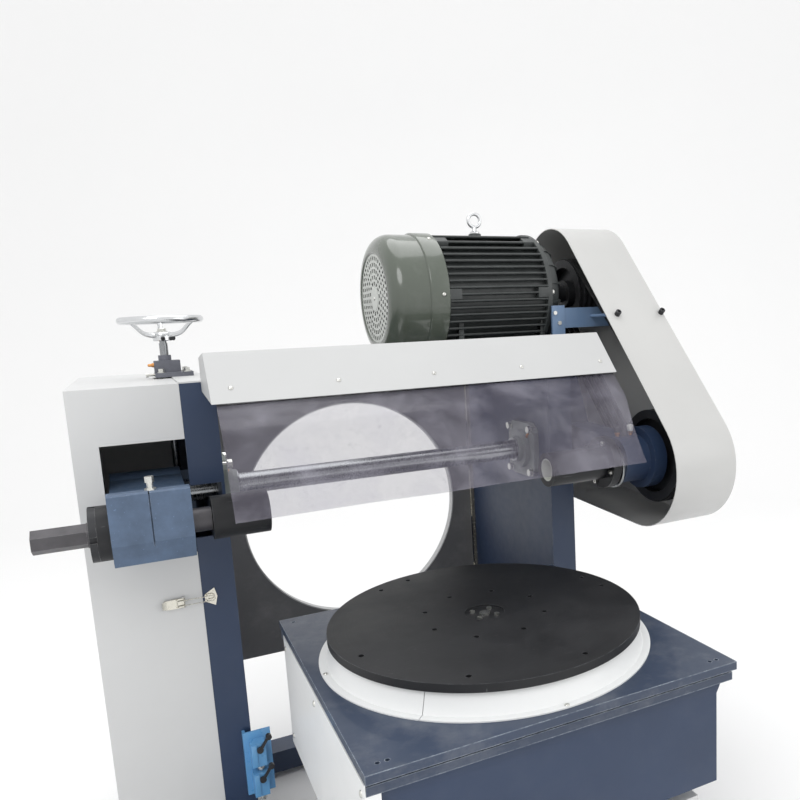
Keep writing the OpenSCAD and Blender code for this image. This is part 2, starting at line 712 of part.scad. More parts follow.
module left_cover() color("#dcdedc") {
    difference() {
        span([cover_x0, col_front, 110], [cover_x1, col_rear, col_top]);
        span([cover_x0 + sheet, col_front + sheet, 109],
             [cover_x1 + 1, col_rear - sheet, col_top - sheet]);
        span([-842, col_front - 1, 1062], [cover_x1 + 1, col_front + sheet + 1, 1372]);
        span([-690, 765, col_top - 5], [cover_x1 + 1, 865, col_top + 1]);
    }
    for (z = [-16, 14]) difference() {
        span([latch_x - 3, 438, latch_z + z], [latch_x + 3, col_front, latch_z + z + 2]);
        translate([latch_x, latch_y, latch_z + z - 1]) cylinder(h = 4, r = 1.8 + run_gap);
    }
}
bail_x = -706;
bail_y = 435.75;
module latch_lever() color("#cfccc0") {
    difference() {
        span([-742, 438, latch_z - 13], [latch_x - 2, latch_y - 0.5, latch_z + 13]);
        translate([-732, 0, latch_z]) rod_y(430, 15, 4);
    }
    for (z = [-13, 11]) span([-722, 438, latch_z + z], [-693, 446.5, latch_z + z + 2]);
    translate([latch_x, latch_y, latch_z - 13]) cylinder(h = 26, r = 3);
    translate([latch_x, latch_y, latch_z - 16.2]) cylinder(h = 32.4, r = 1.8);
    for (z = [-11.5, 9.5]) difference() {
        span([bail_x - 3, 434, latch_z + z], [bail_x + 3, 438.5, latch_z + z + 2]);
        translate([bail_x, bail_y, latch_z + z - 1]) cylinder(h = 4, r = 1.25 + run_gap);
    }
}
module latch_bail() color("#cfccc0") {
    for (z = [-8, 6]) span([bail_x, 434.5, latch_z + z], [-613, 437, latch_z + z + 2]);
    span([-613, 434.5, latch_z - 8], [-610, 437, latch_z + 8]);
    translate([bail_x, bail_y, latch_z - 12]) cylinder(h = 24, r = 1.25);
}

// ---- rear door and shield ----

module rear_door() {
    color("#5d5f62") {
        difference() {
            span([post_x + 4, door_y, door_low], [hinge_x - 1, hinge_y, door_high]);
            translate([duct_x, 0, duct_z]) rod_y_fine(door_y - 1, 5, duct_r);
        }
        for (i = [1 : 2 : knuckles - 1]) {
            difference() {
                translate([hinge_x, hinge_y + 6, door_low + i * knuckle_h + 1])
                    cylinder(h = knuckle_h - 2, r = 3);
                translate([hinge_x, hinge_y + 6, door_low + i * knuckle_h])
                    cylinder(h = knuckle_h, r = 1.5);
            }
            span([hinge_x - 24, hinge_y, door_low + i * knuckle_h + 1],
                 [hinge_x - 3.5, hinge_y + 1.5, door_low + (i + 1) * knuckle_h - 1]);
            span([hinge_x - 4.5, hinge_y, door_low + i * knuckle_h + 1],
                 [hinge_x - 2.2, hinge_y + 6, door_low + (i + 1) * knuckle_h - 1]);
        }
    }
    color("#dcdedc") difference() {
        translate([duct_x, 0, duct_z]) rod_y_fine(hinge_y, 26, duct_r + sheet);
        translate([duct_x, 0, duct_z]) rod_y_fine(hinge_y - 1, 30, duct_r);
    }
}
module rod_y_fine(y0, len, r) {
    translate([0, y0, 0]) rotate([-90, 0, 0]) cylinder(h = len, r = r, $fn = fine);
}

// Clear shield: a bent sheet that hangs from the hood's lower edge.
shield_x = [-576, 567];
shield_t = 3;
shield_pts = [
    [215, 1472], [184, 1436], [155, 1406], [137, 1366], [119, 1324], [98, 1288], [76, 1253], [53, 1217]
];
module shield() color([0.55, 0.53, 0.6, 0.45]) {
    prism_x(shield_x[0], shield_x[1] - shield_x[0])
        polygon(concat(shield_pts, [for (i = [len(shield_pts) - 1 : -1 : 0])
            [shield_pts[i][0] + shield_t, shield_pts[i][1]]]));
    translate([0, shield_pts[0][0] + shield_t / 2, shield_pts[0][1]])
        rod_x(shield_x[0], shield_x[1] - shield_x[0], 2.4);
}

base_frame();
left_post();
right_column();
post_cap();
hood();
hood_screws();
left_flange_bearing();
right_flange_bearing();
frame_bolts();
screw_bracket();
pedestal();
table_rails();
limit_switches();
latch_strike();
door_hinge();
table_top_plate();
table_lower_plate();
table_body();
side_panel();
table_screws();
skirt_left();
skirt_right();
bearing_housing();
gear_reducer();
table_motor();
rail_carriages();
turntable_disc();
turntable_shaft();
turntable_bolts();
cross_shaft();
left_arm();
head_bolts();
quill_collar();
right_arm();
spindle_end_plate();
oil_cups();
motor_platform();
motor_frame();
fan_cover();
eyebolt();
guard_shell();
guard_bracket();
guard_knobs();
drive_belts();
spindle_shaft();
spindle_pulley();
spindle_bolts();
motor_pulley();
quill_bar();
tail_chuck();
quill_locknut();
handwheel();
lead_screw();
left_cover();
latch_lever();
latch_bail();
rear_door();
shield();
upper_switch_lever();
lower_switch_lever();
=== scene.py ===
"""Looks of the rotary-table polishing machine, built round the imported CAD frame."""
import json
import math

import bmesh
import bpy
from mathutils import Matrix, Vector, noise


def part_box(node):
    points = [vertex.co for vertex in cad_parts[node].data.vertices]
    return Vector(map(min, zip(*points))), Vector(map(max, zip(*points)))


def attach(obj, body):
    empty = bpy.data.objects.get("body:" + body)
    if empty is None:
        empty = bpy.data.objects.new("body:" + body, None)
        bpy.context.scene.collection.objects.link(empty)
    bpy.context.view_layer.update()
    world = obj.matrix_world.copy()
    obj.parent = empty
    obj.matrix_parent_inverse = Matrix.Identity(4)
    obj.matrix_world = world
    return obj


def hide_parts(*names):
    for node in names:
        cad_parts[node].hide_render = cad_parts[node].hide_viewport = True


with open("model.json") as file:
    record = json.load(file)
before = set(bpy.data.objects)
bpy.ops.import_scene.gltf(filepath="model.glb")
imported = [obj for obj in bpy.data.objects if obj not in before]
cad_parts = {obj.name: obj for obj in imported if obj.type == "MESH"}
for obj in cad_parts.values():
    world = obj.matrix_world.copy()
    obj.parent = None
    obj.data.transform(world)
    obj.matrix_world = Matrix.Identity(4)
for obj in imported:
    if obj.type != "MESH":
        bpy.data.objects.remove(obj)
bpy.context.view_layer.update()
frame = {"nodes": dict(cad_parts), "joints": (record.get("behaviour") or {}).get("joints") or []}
JOINTS = {j["name"]: j for j in frame["joints"]}


def joint_at(name):
    return Vector(JOINTS[name]["pos_m"])


SPIN = joint_at("spindle_spin")
PIVOT = joint_at("head_swing")
MOTOR = joint_at("motor_spin")
WHEEL = joint_at("handwheel_turn")
AXIS = {"X": (0, 1, 2), "Y": (1, 2, 0), "Z": (2, 0, 1)}

# ---------------------------------------------------------------- camera

YAW, PITCH, ROLL = math.radians(26.78), math.radians(9.16), math.radians(-2.45)
CAMERA_PLACE = (-0.75438, -1.73108, 1.6405)
SENSOR_WIDTH, FOCAL_LENGTH = 36.0, 34.25
SHIFT_X, SHIFT_Y = -0.1478, 0.0556
FAR_CLIP = 60


def photo_camera():
    """A camera at the photographer's place, with the lens shifted to the photo's framing."""
    data = bpy.data.cameras.new("camera")
    data.sensor_width, data.lens = SENSOR_WIDTH, FOCAL_LENGTH
    data.shift_x, data.shift_y = SHIFT_X, SHIFT_Y
    data.clip_end = FAR_CLIP
    cam = bpy.data.objects.new("camera", data)
    bpy.context.scene.collection.objects.link(cam)
    forward = Vector((math.sin(YAW) * math.cos(PITCH), math.cos(YAW) * math.cos(PITCH), -math.sin(PITCH)))
    level = Vector((math.cos(YAW), -math.sin(YAW), 0))
    upright = level.cross(forward)
    right = level * math.cos(ROLL) + upright * math.sin(ROLL)
    up = upright * math.cos(ROLL) - level * math.sin(ROLL)
    turn = Matrix((right, up, -forward)).transposed()
    cam.location = CAMERA_PLACE
    cam.rotation_euler = turn.to_euler()
    bpy.context.scene.camera = cam


photo_camera()

# ---------------------------------------------------------------- materials


class Shader:
    """A node material: a Principled shader and short calls that add and link nodes."""

    def __init__(self, name):
        self.material = bpy.data.materials.new(name)
        self.material.use_nodes = True
        self.tree = self.material.node_tree
        self.bsdf = self.tree.nodes["Principled BSDF"]
        self.place = self.add("ShaderNodeTexCoord").outputs["Object"]

    def add(self, kind, **inputs):
        node = self.tree.nodes.new(kind)
        for key, value in inputs.items():
            self.put(node.inputs[key.replace("_", " ")], value)
        return node

    def put(self, socket, value):
        if isinstance(value, bpy.types.NodeSocket):
            self.tree.links.new(value, socket)
        else:
            socket.default_value = value

    def set(self, **inputs):
        for key, value in inputs.items():
            self.put(self.bsdf.inputs[key.replace("_", " ")], value)

    def stretched(self, scale):
        return self.add("ShaderNodeMapping", Vector=self.place, Scale=scale).outputs[0]

    def noise(self, scale, detail=4.0, rough=0.55, at=None, distort=0.0):
        node = self.add("ShaderNodeTexNoise", Vector=at or self.place, Scale=scale, Detail=detail,
                        Roughness=rough, Distortion=distort)
        return node.outputs["Fac"]

    def ramp(self, fac, low, high, a=0.0, b=1.0):
        node = self.add("ShaderNodeMapRange", Value=fac)
        for key, value in zip(("From Min", "From Max", "To Min", "To Max"), (low, high, a, b)):
            node.inputs[key].default_value = value
        return node.outputs[0]

    def mix(self, fac, a, b):
        node = self.tree.nodes.new("ShaderNodeMix")
        node.data_type = "RGBA"
        for socket, value in zip((node.inputs[0], node.inputs[6], node.inputs[7]), (fac, a, b)):
            self.put(socket, value)
        return node.outputs[2]

    def math(self, kind, a, b):
        node = self.tree.nodes.new("ShaderNodeMath")
        node.operation = kind
        self.put(node.inputs[0], a)
        self.put(node.inputs[1], b)
        return node.outputs[0]

    def edges(self, radius):
        """1 along sharp edges and 0 on flats, from the difference that rounding makes."""
        rounded = self.tree.nodes.new("ShaderNodeBevel")
        rounded.samples = 4
        rounded.inputs["Radius"].default_value = radius
        flat = self.tree.nodes.new("ShaderNodeNewGeometry")
        dot = self.tree.nodes.new("ShaderNodeVectorMath")
        dot.operation = "DOT_PRODUCT"
        self.tree.links.new(rounded.outputs[0], dot.inputs[0])
        self.tree.links.new(flat.outputs["Normal"], dot.inputs[1])
        return self.ramp(dot.outputs["Value"], 0.995, 0.80)

    def bump(self, height, strength, distance=0.001):
        node = self.add("ShaderNodeBump", Height=height, Strength=strength, Distance=distance)
        self.set(Normal=node.outputs[0])


def rgba(colour, gain=1.0):
    return tuple(c * gain for c in colour[:3]) + (1.0,)


def paint(name, colour, rough=0.38, spread=0.12, peel=0.12, wear=0.0, chip=(0.55, 0.56, 0.56),
          coat=0.0, edge=0.0015, dirt=0.15):
    """Enamel or powder coat: drifting tone, orange peel, dust in patches and worn edges."""
    s = Shader(name)
    drift = s.ramp(s.noise(2.3, 5), 0.3, 0.7)
    tone = s.mix(drift, rgba(colour, 1 - spread), rgba(colour, 1 + spread))
    dust = s.math("MULTIPLY", s.ramp(s.noise(9, 8, 0.7), 0.5, 0.75), dirt)
    tone = s.mix(dust, tone, (0.42, 0.42, 0.41, 1))
    if wear:
        mask = s.math("MULTIPLY", s.edges(edge), s.ramp(s.noise(55, 7, 0.75), 0.60 - 0.25 * wear, 0.66))
        tone = s.mix(s.math("MULTIPLY", mask, min(1.0, wear)), tone, rgba(chip))
    s.set(Base_Color=tone, Roughness=s.ramp(s.noise(30, 6, 0.7), 0.25, 0.8, rough - 0.07, rough + 0.1),
          Coat_Weight=coat)
    s.bump(s.noise(420, 2), peel, 0.0006)
    return s.material


def cast_paint(name, colour, rough=0.42, grain=0.5, wear=0.3, chip=(0.4, 0.42, 0.44)):
    """Thick paint over a casting: lumpy skin, small pits and rubbed edges."""
    s = Shader(name)
    tone = s.mix(s.ramp(s.noise(14, 7, 0.65), 0.3, 0.7), rgba(colour, 0.8), rgba(colour, 1.25))
    spots = s.ramp(s.noise(160, 3, 0.6), 0.66, 0.72)
    tone = s.mix(s.math("MULTIPLY", spots, 0.5), tone, rgba(colour, 2.2))
    mask = s.math("MULTIPLY", s.edges(0.002), s.ramp(s.noise(70, 6, 0.7), 0.48, 0.6))
    tone = s.mix(s.math("MULTIPLY", mask, wear), tone, rgba(chip))
    s.set(Base_Color=tone, Roughness=s.ramp(s.noise(45, 5), 0.3, 0.7, rough - 0.08, rough + 0.12))
    s.bump(s.math("ADD", s.noise(90, 4), s.math("MULTIPLY", s.noise(330, 2), 0.5)), grain, 0.0012)
    return s.material


def metal(name, colour, rough=0.25, brush=(1, 1, 1), brush_scale=120, depth=0.08, tint=0.15,
          shine=1.0, wear=0.0, chip=(0.5, 0.5, 0.5)):
    """Bare or plated metal with brush or turning marks along one direction, and stains."""
    s = Shader(name)
    marks = s.noise(brush_scale, 4, 0.7, at=s.stretched(brush))
    stain = s.ramp(s.noise(11, 6, 0.65), 0.35, 0.75)
    tone = s.mix(stain, rgba(colour, 1 + tint), rgba(colour, 1 - tint))
    if wear:
        mask = s.math("MULTIPLY", s.edges(0.0012), s.ramp(s.noise(60, 5, 0.7), 0.4, 0.6))
        tone = s.mix(s.math("MULTIPLY", mask, wear), tone, rgba(chip))
    s.set(Base_Color=tone, Metallic=shine, Roughness=s.ramp(marks, 0.25, 0.75, rough - 0.07, rough + 0.1))
    s.bump(marks, depth, 0.0004)
    return s.material


def turned_black(name, centre_axis):
    """Black oxide on a turned face: faint rings round an axis, light scratches, pale edges."""
    s = Shader(name)
    keep = {"X": (0, 1, 1), "Z": (1, 1, 0)}[centre_axis]
    centre = {"X": SPIN, "Z": Vector((0, 0, 0))}[centre_axis]
    shifted = s.add("ShaderNodeVectorMath")
    shifted.operation = "SUBTRACT"
    s.put(shifted.inputs[0], s.place)
    shifted.inputs[1].default_value = centre
    flat = s.add("ShaderNodeVectorMath")
    flat.operation = "MULTIPLY"
    s.put(flat.inputs[0], shifted.outputs[0])
    flat.inputs[1].default_value = keep
    radius = s.add("ShaderNodeVectorMath")
    radius.operation = "LENGTH"
    s.put(radius.inputs[0], flat.outputs[0])
    rings = s.noise(260, 3, 0.7, at=s.add("ShaderNodeCombineXYZ", X=radius.outputs["Value"]).outputs[0])
    scratch = s.ramp(s.noise(26, 2, 0.4, at=s.stretched((1, 14, 1)), distort=1.6), 0.735, 0.75)
    cloud = s.ramp(s.noise(6, 7, 0.6), 0.35, 0.7)
    tone = s.mix(cloud, (0.0085, 0.009, 0.0105, 1), (0.019, 0.0195, 0.022, 1))
    tone = s.mix(s.math("MULTIPLY", s.ramp(rings, 0.3, 0.75), 0.35), tone, (0.045, 0.046, 0.05, 1))
    tone = s.mix(s.math("MULTIPLY", scratch, 0.5), tone, (0.16, 0.16, 0.165, 1))
    rub = s.math("MULTIPLY", s.edges(0.0014), s.ramp(s.noise(38, 5, 0.7), 0.35, 0.62))
    tone = s.mix(s.math("MULTIPLY", rub, 0.85), tone, (0.24, 0.245, 0.26, 1))
    s.set(Base_Color=tone, Metallic=0.35, Roughness=s.ramp(cloud, 0, 1, 0.42, 0.56))
    s.bump(rings, 0.12, 0.0004)
    return s.material


def smoky_sheet(name):
    """Soft clear PVC: smoky, with rubbed hazy patches, fingermarks and fine scratches."""
    s = Shader(name)
    haze = s.ramp(s.noise(7, 7, 0.62, distort=0.6), 0.42, 0.72)
    hair = s.ramp(s.noise(30, 2, 0.5, at=s.stretched((1.5, 9, 9)), distort=2.2), 0.70, 0.715)
    prints = s.ramp(s.noise(38, 5, 0.7), 0.60, 0.72)
    tone = s.mix(haze, (0.13, 0.12, 0.16, 1), (0.30, 0.29, 0.35, 1))
    veil = s.math("ADD", s.ramp(haze, 0, 1, 0.22, 0.34), s.math("MULTIPLY", prints, 0.07))
    s.set(Base_Color=tone, Roughness=s.ramp(s.math("ADD", haze, prints), 0, 1.4, 0.10, 0.34),
          Alpha=s.math("ADD", veil, s.math("MULTIPLY", hair, 0.15)), Specular_IOR_Level=0.6)
    s.bump(s.noise(5, 3), 0.25, 0.004)
    return s.material


def rubber(name):
    s = Shader(name)
    tone = s.mix(s.ramp(s.noise(35, 6, 0.7), 0.35, 0.7), (0.011, 0.011, 0.012, 1), (0.035, 0.035, 0.036, 1))
    s.set(Base_Color=tone, Roughness=s.ramp(s.noise(80, 3), 0.3, 0.7, 0.6, 0.8))
    s.bump(s.noise(260, 3), 0.25, 0.0006)
    return s.material


BLUE = paint("blue_enamel", (0.020, 0.038, 0.084), rough=0.42, wear=0.5, dirt=0.02)
BLUE_PLATE = paint("blue_plate", (0.024, 0.040, 0.078), rough=0.36, wear=1.0, coat=0.2, edge=0.0035,
                   chip=(0.50, 0.56, 0.62), dirt=0.16)
BLUE_CAST = cast_paint("blue_cast", (0.075, 0.115, 0.185), wear=0.5, chip=(0.34, 0.40, 0.48))
BLUE_LIGHT = paint("bracket_blue", (0.16, 0.25, 0.40), rough=0.36, wear=0.5, dirt=0.1)
SWITCH_BLUE = paint("switch_blue", (0.12, 0.32, 0.58), rough=0.3, wear=0.3, coat=0.3)
GREY = paint("grey_powder_coat", (0.50, 0.505, 0.505), rough=0.42, spread=0.025, dirt=0.035, wear=0.25,
             chip=(0.9, 0.9, 0.9))
PALE = paint("pale_powder_coat", (0.60, 0.605, 0.605), rough=0.42, spread=0.025, dirt=0.03, wear=0.25,
             chip=(0.9, 0.9, 0.9))
GUARD_GREY = paint("guard_powder_coat", (0.51, 0.51, 0.50), rough=0.36, spread=0.03, dirt=0.04, wear=0.3,
                   chip=(0.9, 0.9, 0.9), coat=0.1)
SKIRT = paint("skirt_powder_coat", (0.80, 0.81, 0.81), rough=0.34, spread=0.02, dirt=0.05, wear=0.3,
              chip=(0.5, 0.5, 0.5))
PANEL = paint("panel_grey", (0.16, 0.16, 0.165), rough=0.5, spread=0.12, dirt=0.2, wear=0.3)
OLIVE = paint("fan_cover_olive", (0.083, 0.098, 0.078), rough=0.2, spread=0.08, dirt=0.08, wear=0.35,
              coat=0.6, peel=0.05)
GRILLE = paint("grille_grey", (0.55, 0.57, 0.54), rough=0.4, spread=0.08, dirt=0.3, wear=0.2)
MOTOR_GREEN = cast_paint("motor_green", (0.045, 0.050, 0.050), rough=0.40, grain=0.3, wear=0.4,
                         chip=(0.16, 0.19, 0.17))
BEARING_IRON = cast_paint("bearing_iron", (0.25, 0.275, 0.26), grain=0.6, wear=0.3)
BLACK_DISC = turned_black("black_turntable", "Z")
BLACK_TURNED = turned_black("black_turned_steel", "X")
BRACKET_IRON = cast_paint("bracket_iron", (0.12, 0.125, 0.15), rough=0.45, grain=0.3, wear=0.4)
BLACK_PART = metal("black_part", (0.030, 0.031, 0.034), rough=0.42, shine=0.5, wear=0.7, tint=0.3)
QUILL = metal("quill_steel", (0.085, 0.082, 0.088), rough=0.40, brush=(1, 14, 14), shine=0.6, wear=0.8,
              tint=0.3)
STEEL = metal("ground_steel", (0.30, 0.31, 0.32), rough=0.24, brush=(8, 1, 1), brush_scale=60, depth=0.02,
              tint=0.2)
MACHINED = metal("machined_face", (0.52, 0.54, 0.54), rough=0.34, brush=(1, 5, 1), tint=0.12)
ZINC = metal("zinc_plate", (0.60, 0.60, 0.57), rough=0.28, tint=0.18)
CHROME = metal("chrome", (0.66, 0.67, 0.68), rough=0.20, depth=0.02, tint=0.05)
NICKEL = metal("nickel", (0.62, 0.60, 0.53), rough=0.22, tint=0.12)
BRASS = metal("brass", (0.62, 0.30, 0.11), rough=0.3, tint=0.2)
PLASTIC = cast_paint("black_plastic", (0.017, 0.017, 0.019), rough=0.38, grain=0.2, wear=0.1)
CUP = paint("cup_plastic", (0.72, 0.73, 0.70), rough=0.18, spread=0.05, coat=0.5)
LINER = paint("white_liner", (0.70, 0.71, 0.66), rough=0.45, spread=0.10, dirt=0.3)
RUBBER = rubber("belt_rubber")
PVC = smoky_sheet("smoky_pvc")

# ---------------------------------------------------------------- mesh helpers


def finish_mesh(bm, name, material, body, stands_for=(), chamfer=0.0, angle=35.0):
    """Turns a bmesh into a piece: chamfers its sharp edges, smooths it, paints it and rides it."""
    bmesh.ops.remove_doubles(bm, verts=bm.verts, dist=1e-6)
    bmesh.ops.recalc_face_normals(bm, faces=bm.faces)
    if chamfer:
        limit = math.radians(angle)
        sharp = [e for e in bm.edges if len(e.link_faces) == 2 and e.calc_face_angle(0) > limit]
        bmesh.ops.bevel(bm, geom=sharp, offset=chamfer, segments=2, profile=0.6, affect="EDGES",
                        clamp_overlap=True)
    mesh = bpy.data.meshes.new(name)
    bm.to_mesh(mesh)
    bm.free()
    mesh.shade_smooth()
    mesh.set_sharp_from_angle(angle=math.radians(angle))
    mesh.materials.append(material)
    obj = bpy.data.objects.new(name, mesh)
    bpy.context.scene.collection.objects.link(obj)
    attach(obj, body)
    if stands_for:
        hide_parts(*stands_for)
    return obj


def on_axis(axis, along, u, v):
    """A point from its place along an axis and its two other coordinates, in axis order."""
    i, j, k = AXIS[axis]
    p = [0.0, 0.0, 0.0]
    p[i], p[j], p[k] = along, u, v
    return Vector(p)


def full_turn(steps):
    """The angles that divide a full turn into equal steps."""
    return [2 * math.pi * n / steps for n in range(steps)]


def quarter_turn(steps):
    """The angles from 0 to a right angle, both ends included."""
    return [math.pi / 2 * n / steps for n in range(steps + 1)]


def loft(bm, rings, caps=True, close_rows=False):
    """Faces between rings of points; each ring has the same number of points."""
    rows = [[bm.verts.new(p) for p in ring] for ring in rings]
    pairs = list(zip(rows, rows[1:] + rows[:1])) if close_rows else list(zip(rows, rows[1:]))
    count = len(rows[0])
    for low, high in pairs:
        for i in range(count):
            j = (i + 1) % count
            bm.faces.new((low[i], low[j], high[j], high[i]))
    if caps and not close_rows:
        bm.faces.new(rows[0])
        bm.faces.new(rows[-1])
    return rows


def sheet_between(bm, front, back):
    """A sheet between two equal grids of points, closed round its border."""
    near, far = [[[bm.verts.new(p) for p in row] for row in grid] for grid in (front, back)]
    rows, columns = len(front) - 1, len(front[0]) - 1
    for grid in (near, far):
        for m in range(rows):
            for n in range(columns):
                bm.faces.new((grid[m][n], grid[m][n + 1], grid[m + 1][n + 1], grid[m + 1][n]))
    border = ([(0, n) for n in range(columns)] + [(m, columns) for m in range(rows)]
              + [(rows, n) for n in range(columns, 0, -1)] + [(m, 0) for m in range(rows, 0, -1)])
    for (m, n), (p, q) in zip(border, border[1:] + border[:1]):
        bm.faces.new((near[m][n], near[p][q], far[p][q], far[m][n]))


def counted_from(start, profile, sign=1):
    """A lathe profile with its places along the axis counted from start."""
    return [(start + sign * along, radius) for along, radius in profile]


def lathe(bm, profile, centre, axis="X", steps=64, closed=False):
    """Turns (along, radius) points round an axis through centre, along being absolute."""
    _, j, k = AXIS[axis]
    rings = [[on_axis(axis, along, centre[j] + radius * math.cos(a), centre[k] + radius * math.sin(a))
              for a in full_turn(steps)] for along, radius in profile]
    loft(bm, rings, caps=not closed, close_rows=closed)


def prism(bm, outline, low, high, axis="X"):
    """A prism along an axis; the outline's points are its two other coordinates, in axis order."""
    loft(bm, [[on_axis(axis, a, u, v) for u, v in outline] for a in (low, high)])


def block(bm, low, high):
    prism(bm, [(low[1], low[2]), (high[1], low[2]), (high[1], high[2]), (low[1], high[2])],
          low[0], high[0])


def tube(bm, points, radius, sides=12, closed=False, flatten=1.0):
    """A round bar along points, with one radius or one for each point."""
    count = len(points)
    radii = radius if isinstance(radius, (list, tuple)) else [radius] * count
    rings, side = [], None
    for n, p in enumerate(points):
        before = points[n - 1] if n or closed else p
        after = points[(n + 1) % count] if n < count - 1 or closed else p
        way = (Vector(after) - Vector(before)).normalized()
        side = side or way.orthogonal().normalized()
        side = (side - way * side.dot(way)).normalized()
        other = way.cross(side)
        r = radii[n]
        rings.append([Vector(p) + side * math.cos(a) * r + other * math.sin(a) * r * flatten
                      for a in full_turn(sides)])
    loft(bm, rings, caps=not closed, close_rows=closed)


def circle(centre, radius, steps=120):
    """(u, v) points round a circle."""
    angles = [math.radians(360 * n / steps) for n in range(steps)]
    return [(centre[0] + radius * math.cos(a), centre[1] + radius * math.sin(a)) for a in angles]


def hull(points):
    """The convex hull of (u, v) points, anticlockwise."""
    def half(row):
        out = []
        for p in row:
            while len(out) > 1 and ((out[-1][0] - out[-2][0]) * (p[1] - out[-2][1])
                                    - (out[-1][1] - out[-2][1]) * (p[0] - out[-2][0])) <= 0:
                out.pop()
            out.append(p)
        return out[:-1]
    row = sorted(set(points))
    return half(row) + half(row[::-1])


def resample(points, count):
    """The same closed outline with evenly spaced points, starting at its highest one."""
    start = max(range(len(points)), key=lambda n: points[n][1])
    loop = [Vector(p) for p in points[start:] + points[:start + 1]]
    length = [0.0]
    for a, b in zip(loop, loop[1:]):
        length.append(length[-1] + (b - a).length)
    out, n = [], 0
    for m in range(count):
        goal = length[-1] * m / count
        while length[n + 1] < goal:
            n += 1
        t = (goal - length[n]) / (length[n + 1] - length[n])
        out.append(tuple(loop[n].lerp(loop[n + 1], t)))
    return out


def spline(points, steps):
    """A smooth curve through points, as a list of Vectors."""
    pts = [Vector(p) for p in points]
    pts = [2 * pts[0] - pts[1]] + pts + [2 * pts[-1] - pts[-2]]
    out = []
    for n in range(1, len(pts) - 2):
        a, b, c, d = pts[n - 1:n + 3]
        for m in range(steps):
            t = m / steps
            out.append(0.5 * (2 * b + (c - a) * t + (2 * a - 5 * b + 4 * c - d) * t ** 2
                              + (3 * b - a - 3 * c + d) * t ** 3))
    return out + [pts[-2]]


def dress(material, *names):
    """Gives CAD nodes a material."""
    for name in names:
        obj = frame["nodes"][name]
        if obj.material_slots:
            for entry in obj.material_slots:
                entry.material = material
        else:
            obj.data.materials.append(material)


def stud(bm, foot, way, profile, steps=20):
    """A turned piece standing on foot along way; its profile is (height, radius) points."""
    turn = Vector((0, 0, 1)).rotation_difference(Vector(way).normalized()).to_matrix()
    loft(bm, [[Vector(foot) + turn @ Vector((r * math.cos(a), r * math.sin(a), h))
               for a in full_turn(steps)] for h, r in profile])


PAN = [(-0.0005, 0.0062), (0.0008, 0.0062), (0.0022, 0.0052), (0.0032, 0.0034), (0.0035, 0.0008)]


def pan_head(bm, foot, way, taller=1.0, wider=1.0):
    """A domed screw head."""
    stud(bm, foot, way, [(h * taller, r * wider) for h, r in PAN])


def hex_head(bm, foot, way, radius, depth, washer=0.0):
    """A chamfered hexagon head, with a washer under it when one is asked for."""
    foot, way = Vector(foot), Vector(way).normalized()
    thick = 0.0025
    if washer:
        stud(bm, foot, way, [(0, washer), (thick - 0.0003, washer), (thick, washer - 0.0004)], 28)
        foot = foot + way * thick
    stud(bm, foot, way, [(0, radius * 0.93), (depth * 0.12, radius), (depth * 0.82, radius),
                         (depth, radius * 0.85)], 6)


def span_of(node):
    low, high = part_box(node)
    return Vector(low), Vector(high)


# ---------------------------------------------------------------- CAD nodes that stay

dress(BLUE, "base_frame", "left_post", "right_column", "table_body", "motor_platform", "right_arm")
dress(BLUE_PLATE, "table_top_plate", "table_lower_plate")
dress(BLUE_CAST, "left_arm")
dress(GREY, "hood")
dress(PALE, "post_cap", "pedestal", "left_cover")
dress(SKIRT, "side_panel", "skirt_left", "skirt_right")
dress(BLUE_LIGHT, "guard_bracket")
dress(SWITCH_BLUE, "limit_switches")
dress(BEARING_IRON, "left_flange_bearing", "right_flange_bearing", "bearing_housing")
dress(ZINC, "frame_bolts", "turntable_bolts", "head_bolts", "spindle_bolts")
dress(MACHINED, "spindle_end_plate")
dress(BLACK_DISC, "turntable_disc")
dress(BLACK_TURNED, "spindle_shaft", "tail_chuck", "quill_collar")
dress(BRACKET_IRON, "screw_bracket")
dress(BLACK_PART, "spindle_pulley", "motor_pulley", "quill_locknut")
dress(QUILL, "quill_bar")
dress(STEEL, "cross_shaft", "turntable_shaft", "table_rails", "rail_carriages", "lead_screw")
dress(MOTOR_GREEN, "gear_reducer", "table_motor")
dress(NICKEL, "latch_strike", "door_hinge")
dress(PLASTIC, "upper_switch_lever", "lower_switch_lever")
dress(PANEL, "rear_door")

# ---------------------------------------------------------------- motor


def round_motor(angle):
    """The direction square to the motor's axis at an angle in degrees from +Y, and its side."""
    a = math.radians(angle)
    return Vector((0, math.cos(a), math.sin(a))), Vector((0, -math.sin(a), math.cos(a)))


FRAME_LOW, FRAME_HIGH = span_of("motor_frame")
EYE_LOW, EYE_HIGH = span_of("eyebolt")
EYE = (EYE_LOW + EYE_HIGH) / 2
SHIELD_DEPTH = 0.107
FINS_FROM, FINS_TO = FRAME_LOW.x, FRAME_HIGH.x - SHIELD_DEPTH
GRILLE_X = span_of("fan_cover")[0].x + 0.004
LUGS = [180 + 60 * n for n in range(6)]


def motor_point(x, angle, out, side=0.0):
    """The point at x that lies out from the motor's axis at an angle, with a step square to that line."""
    way, across = round_motor(angle)
    return Vector((0, MOTOR.y, MOTOR.z)) + way * out + across * side + Vector((x, 0, 0))


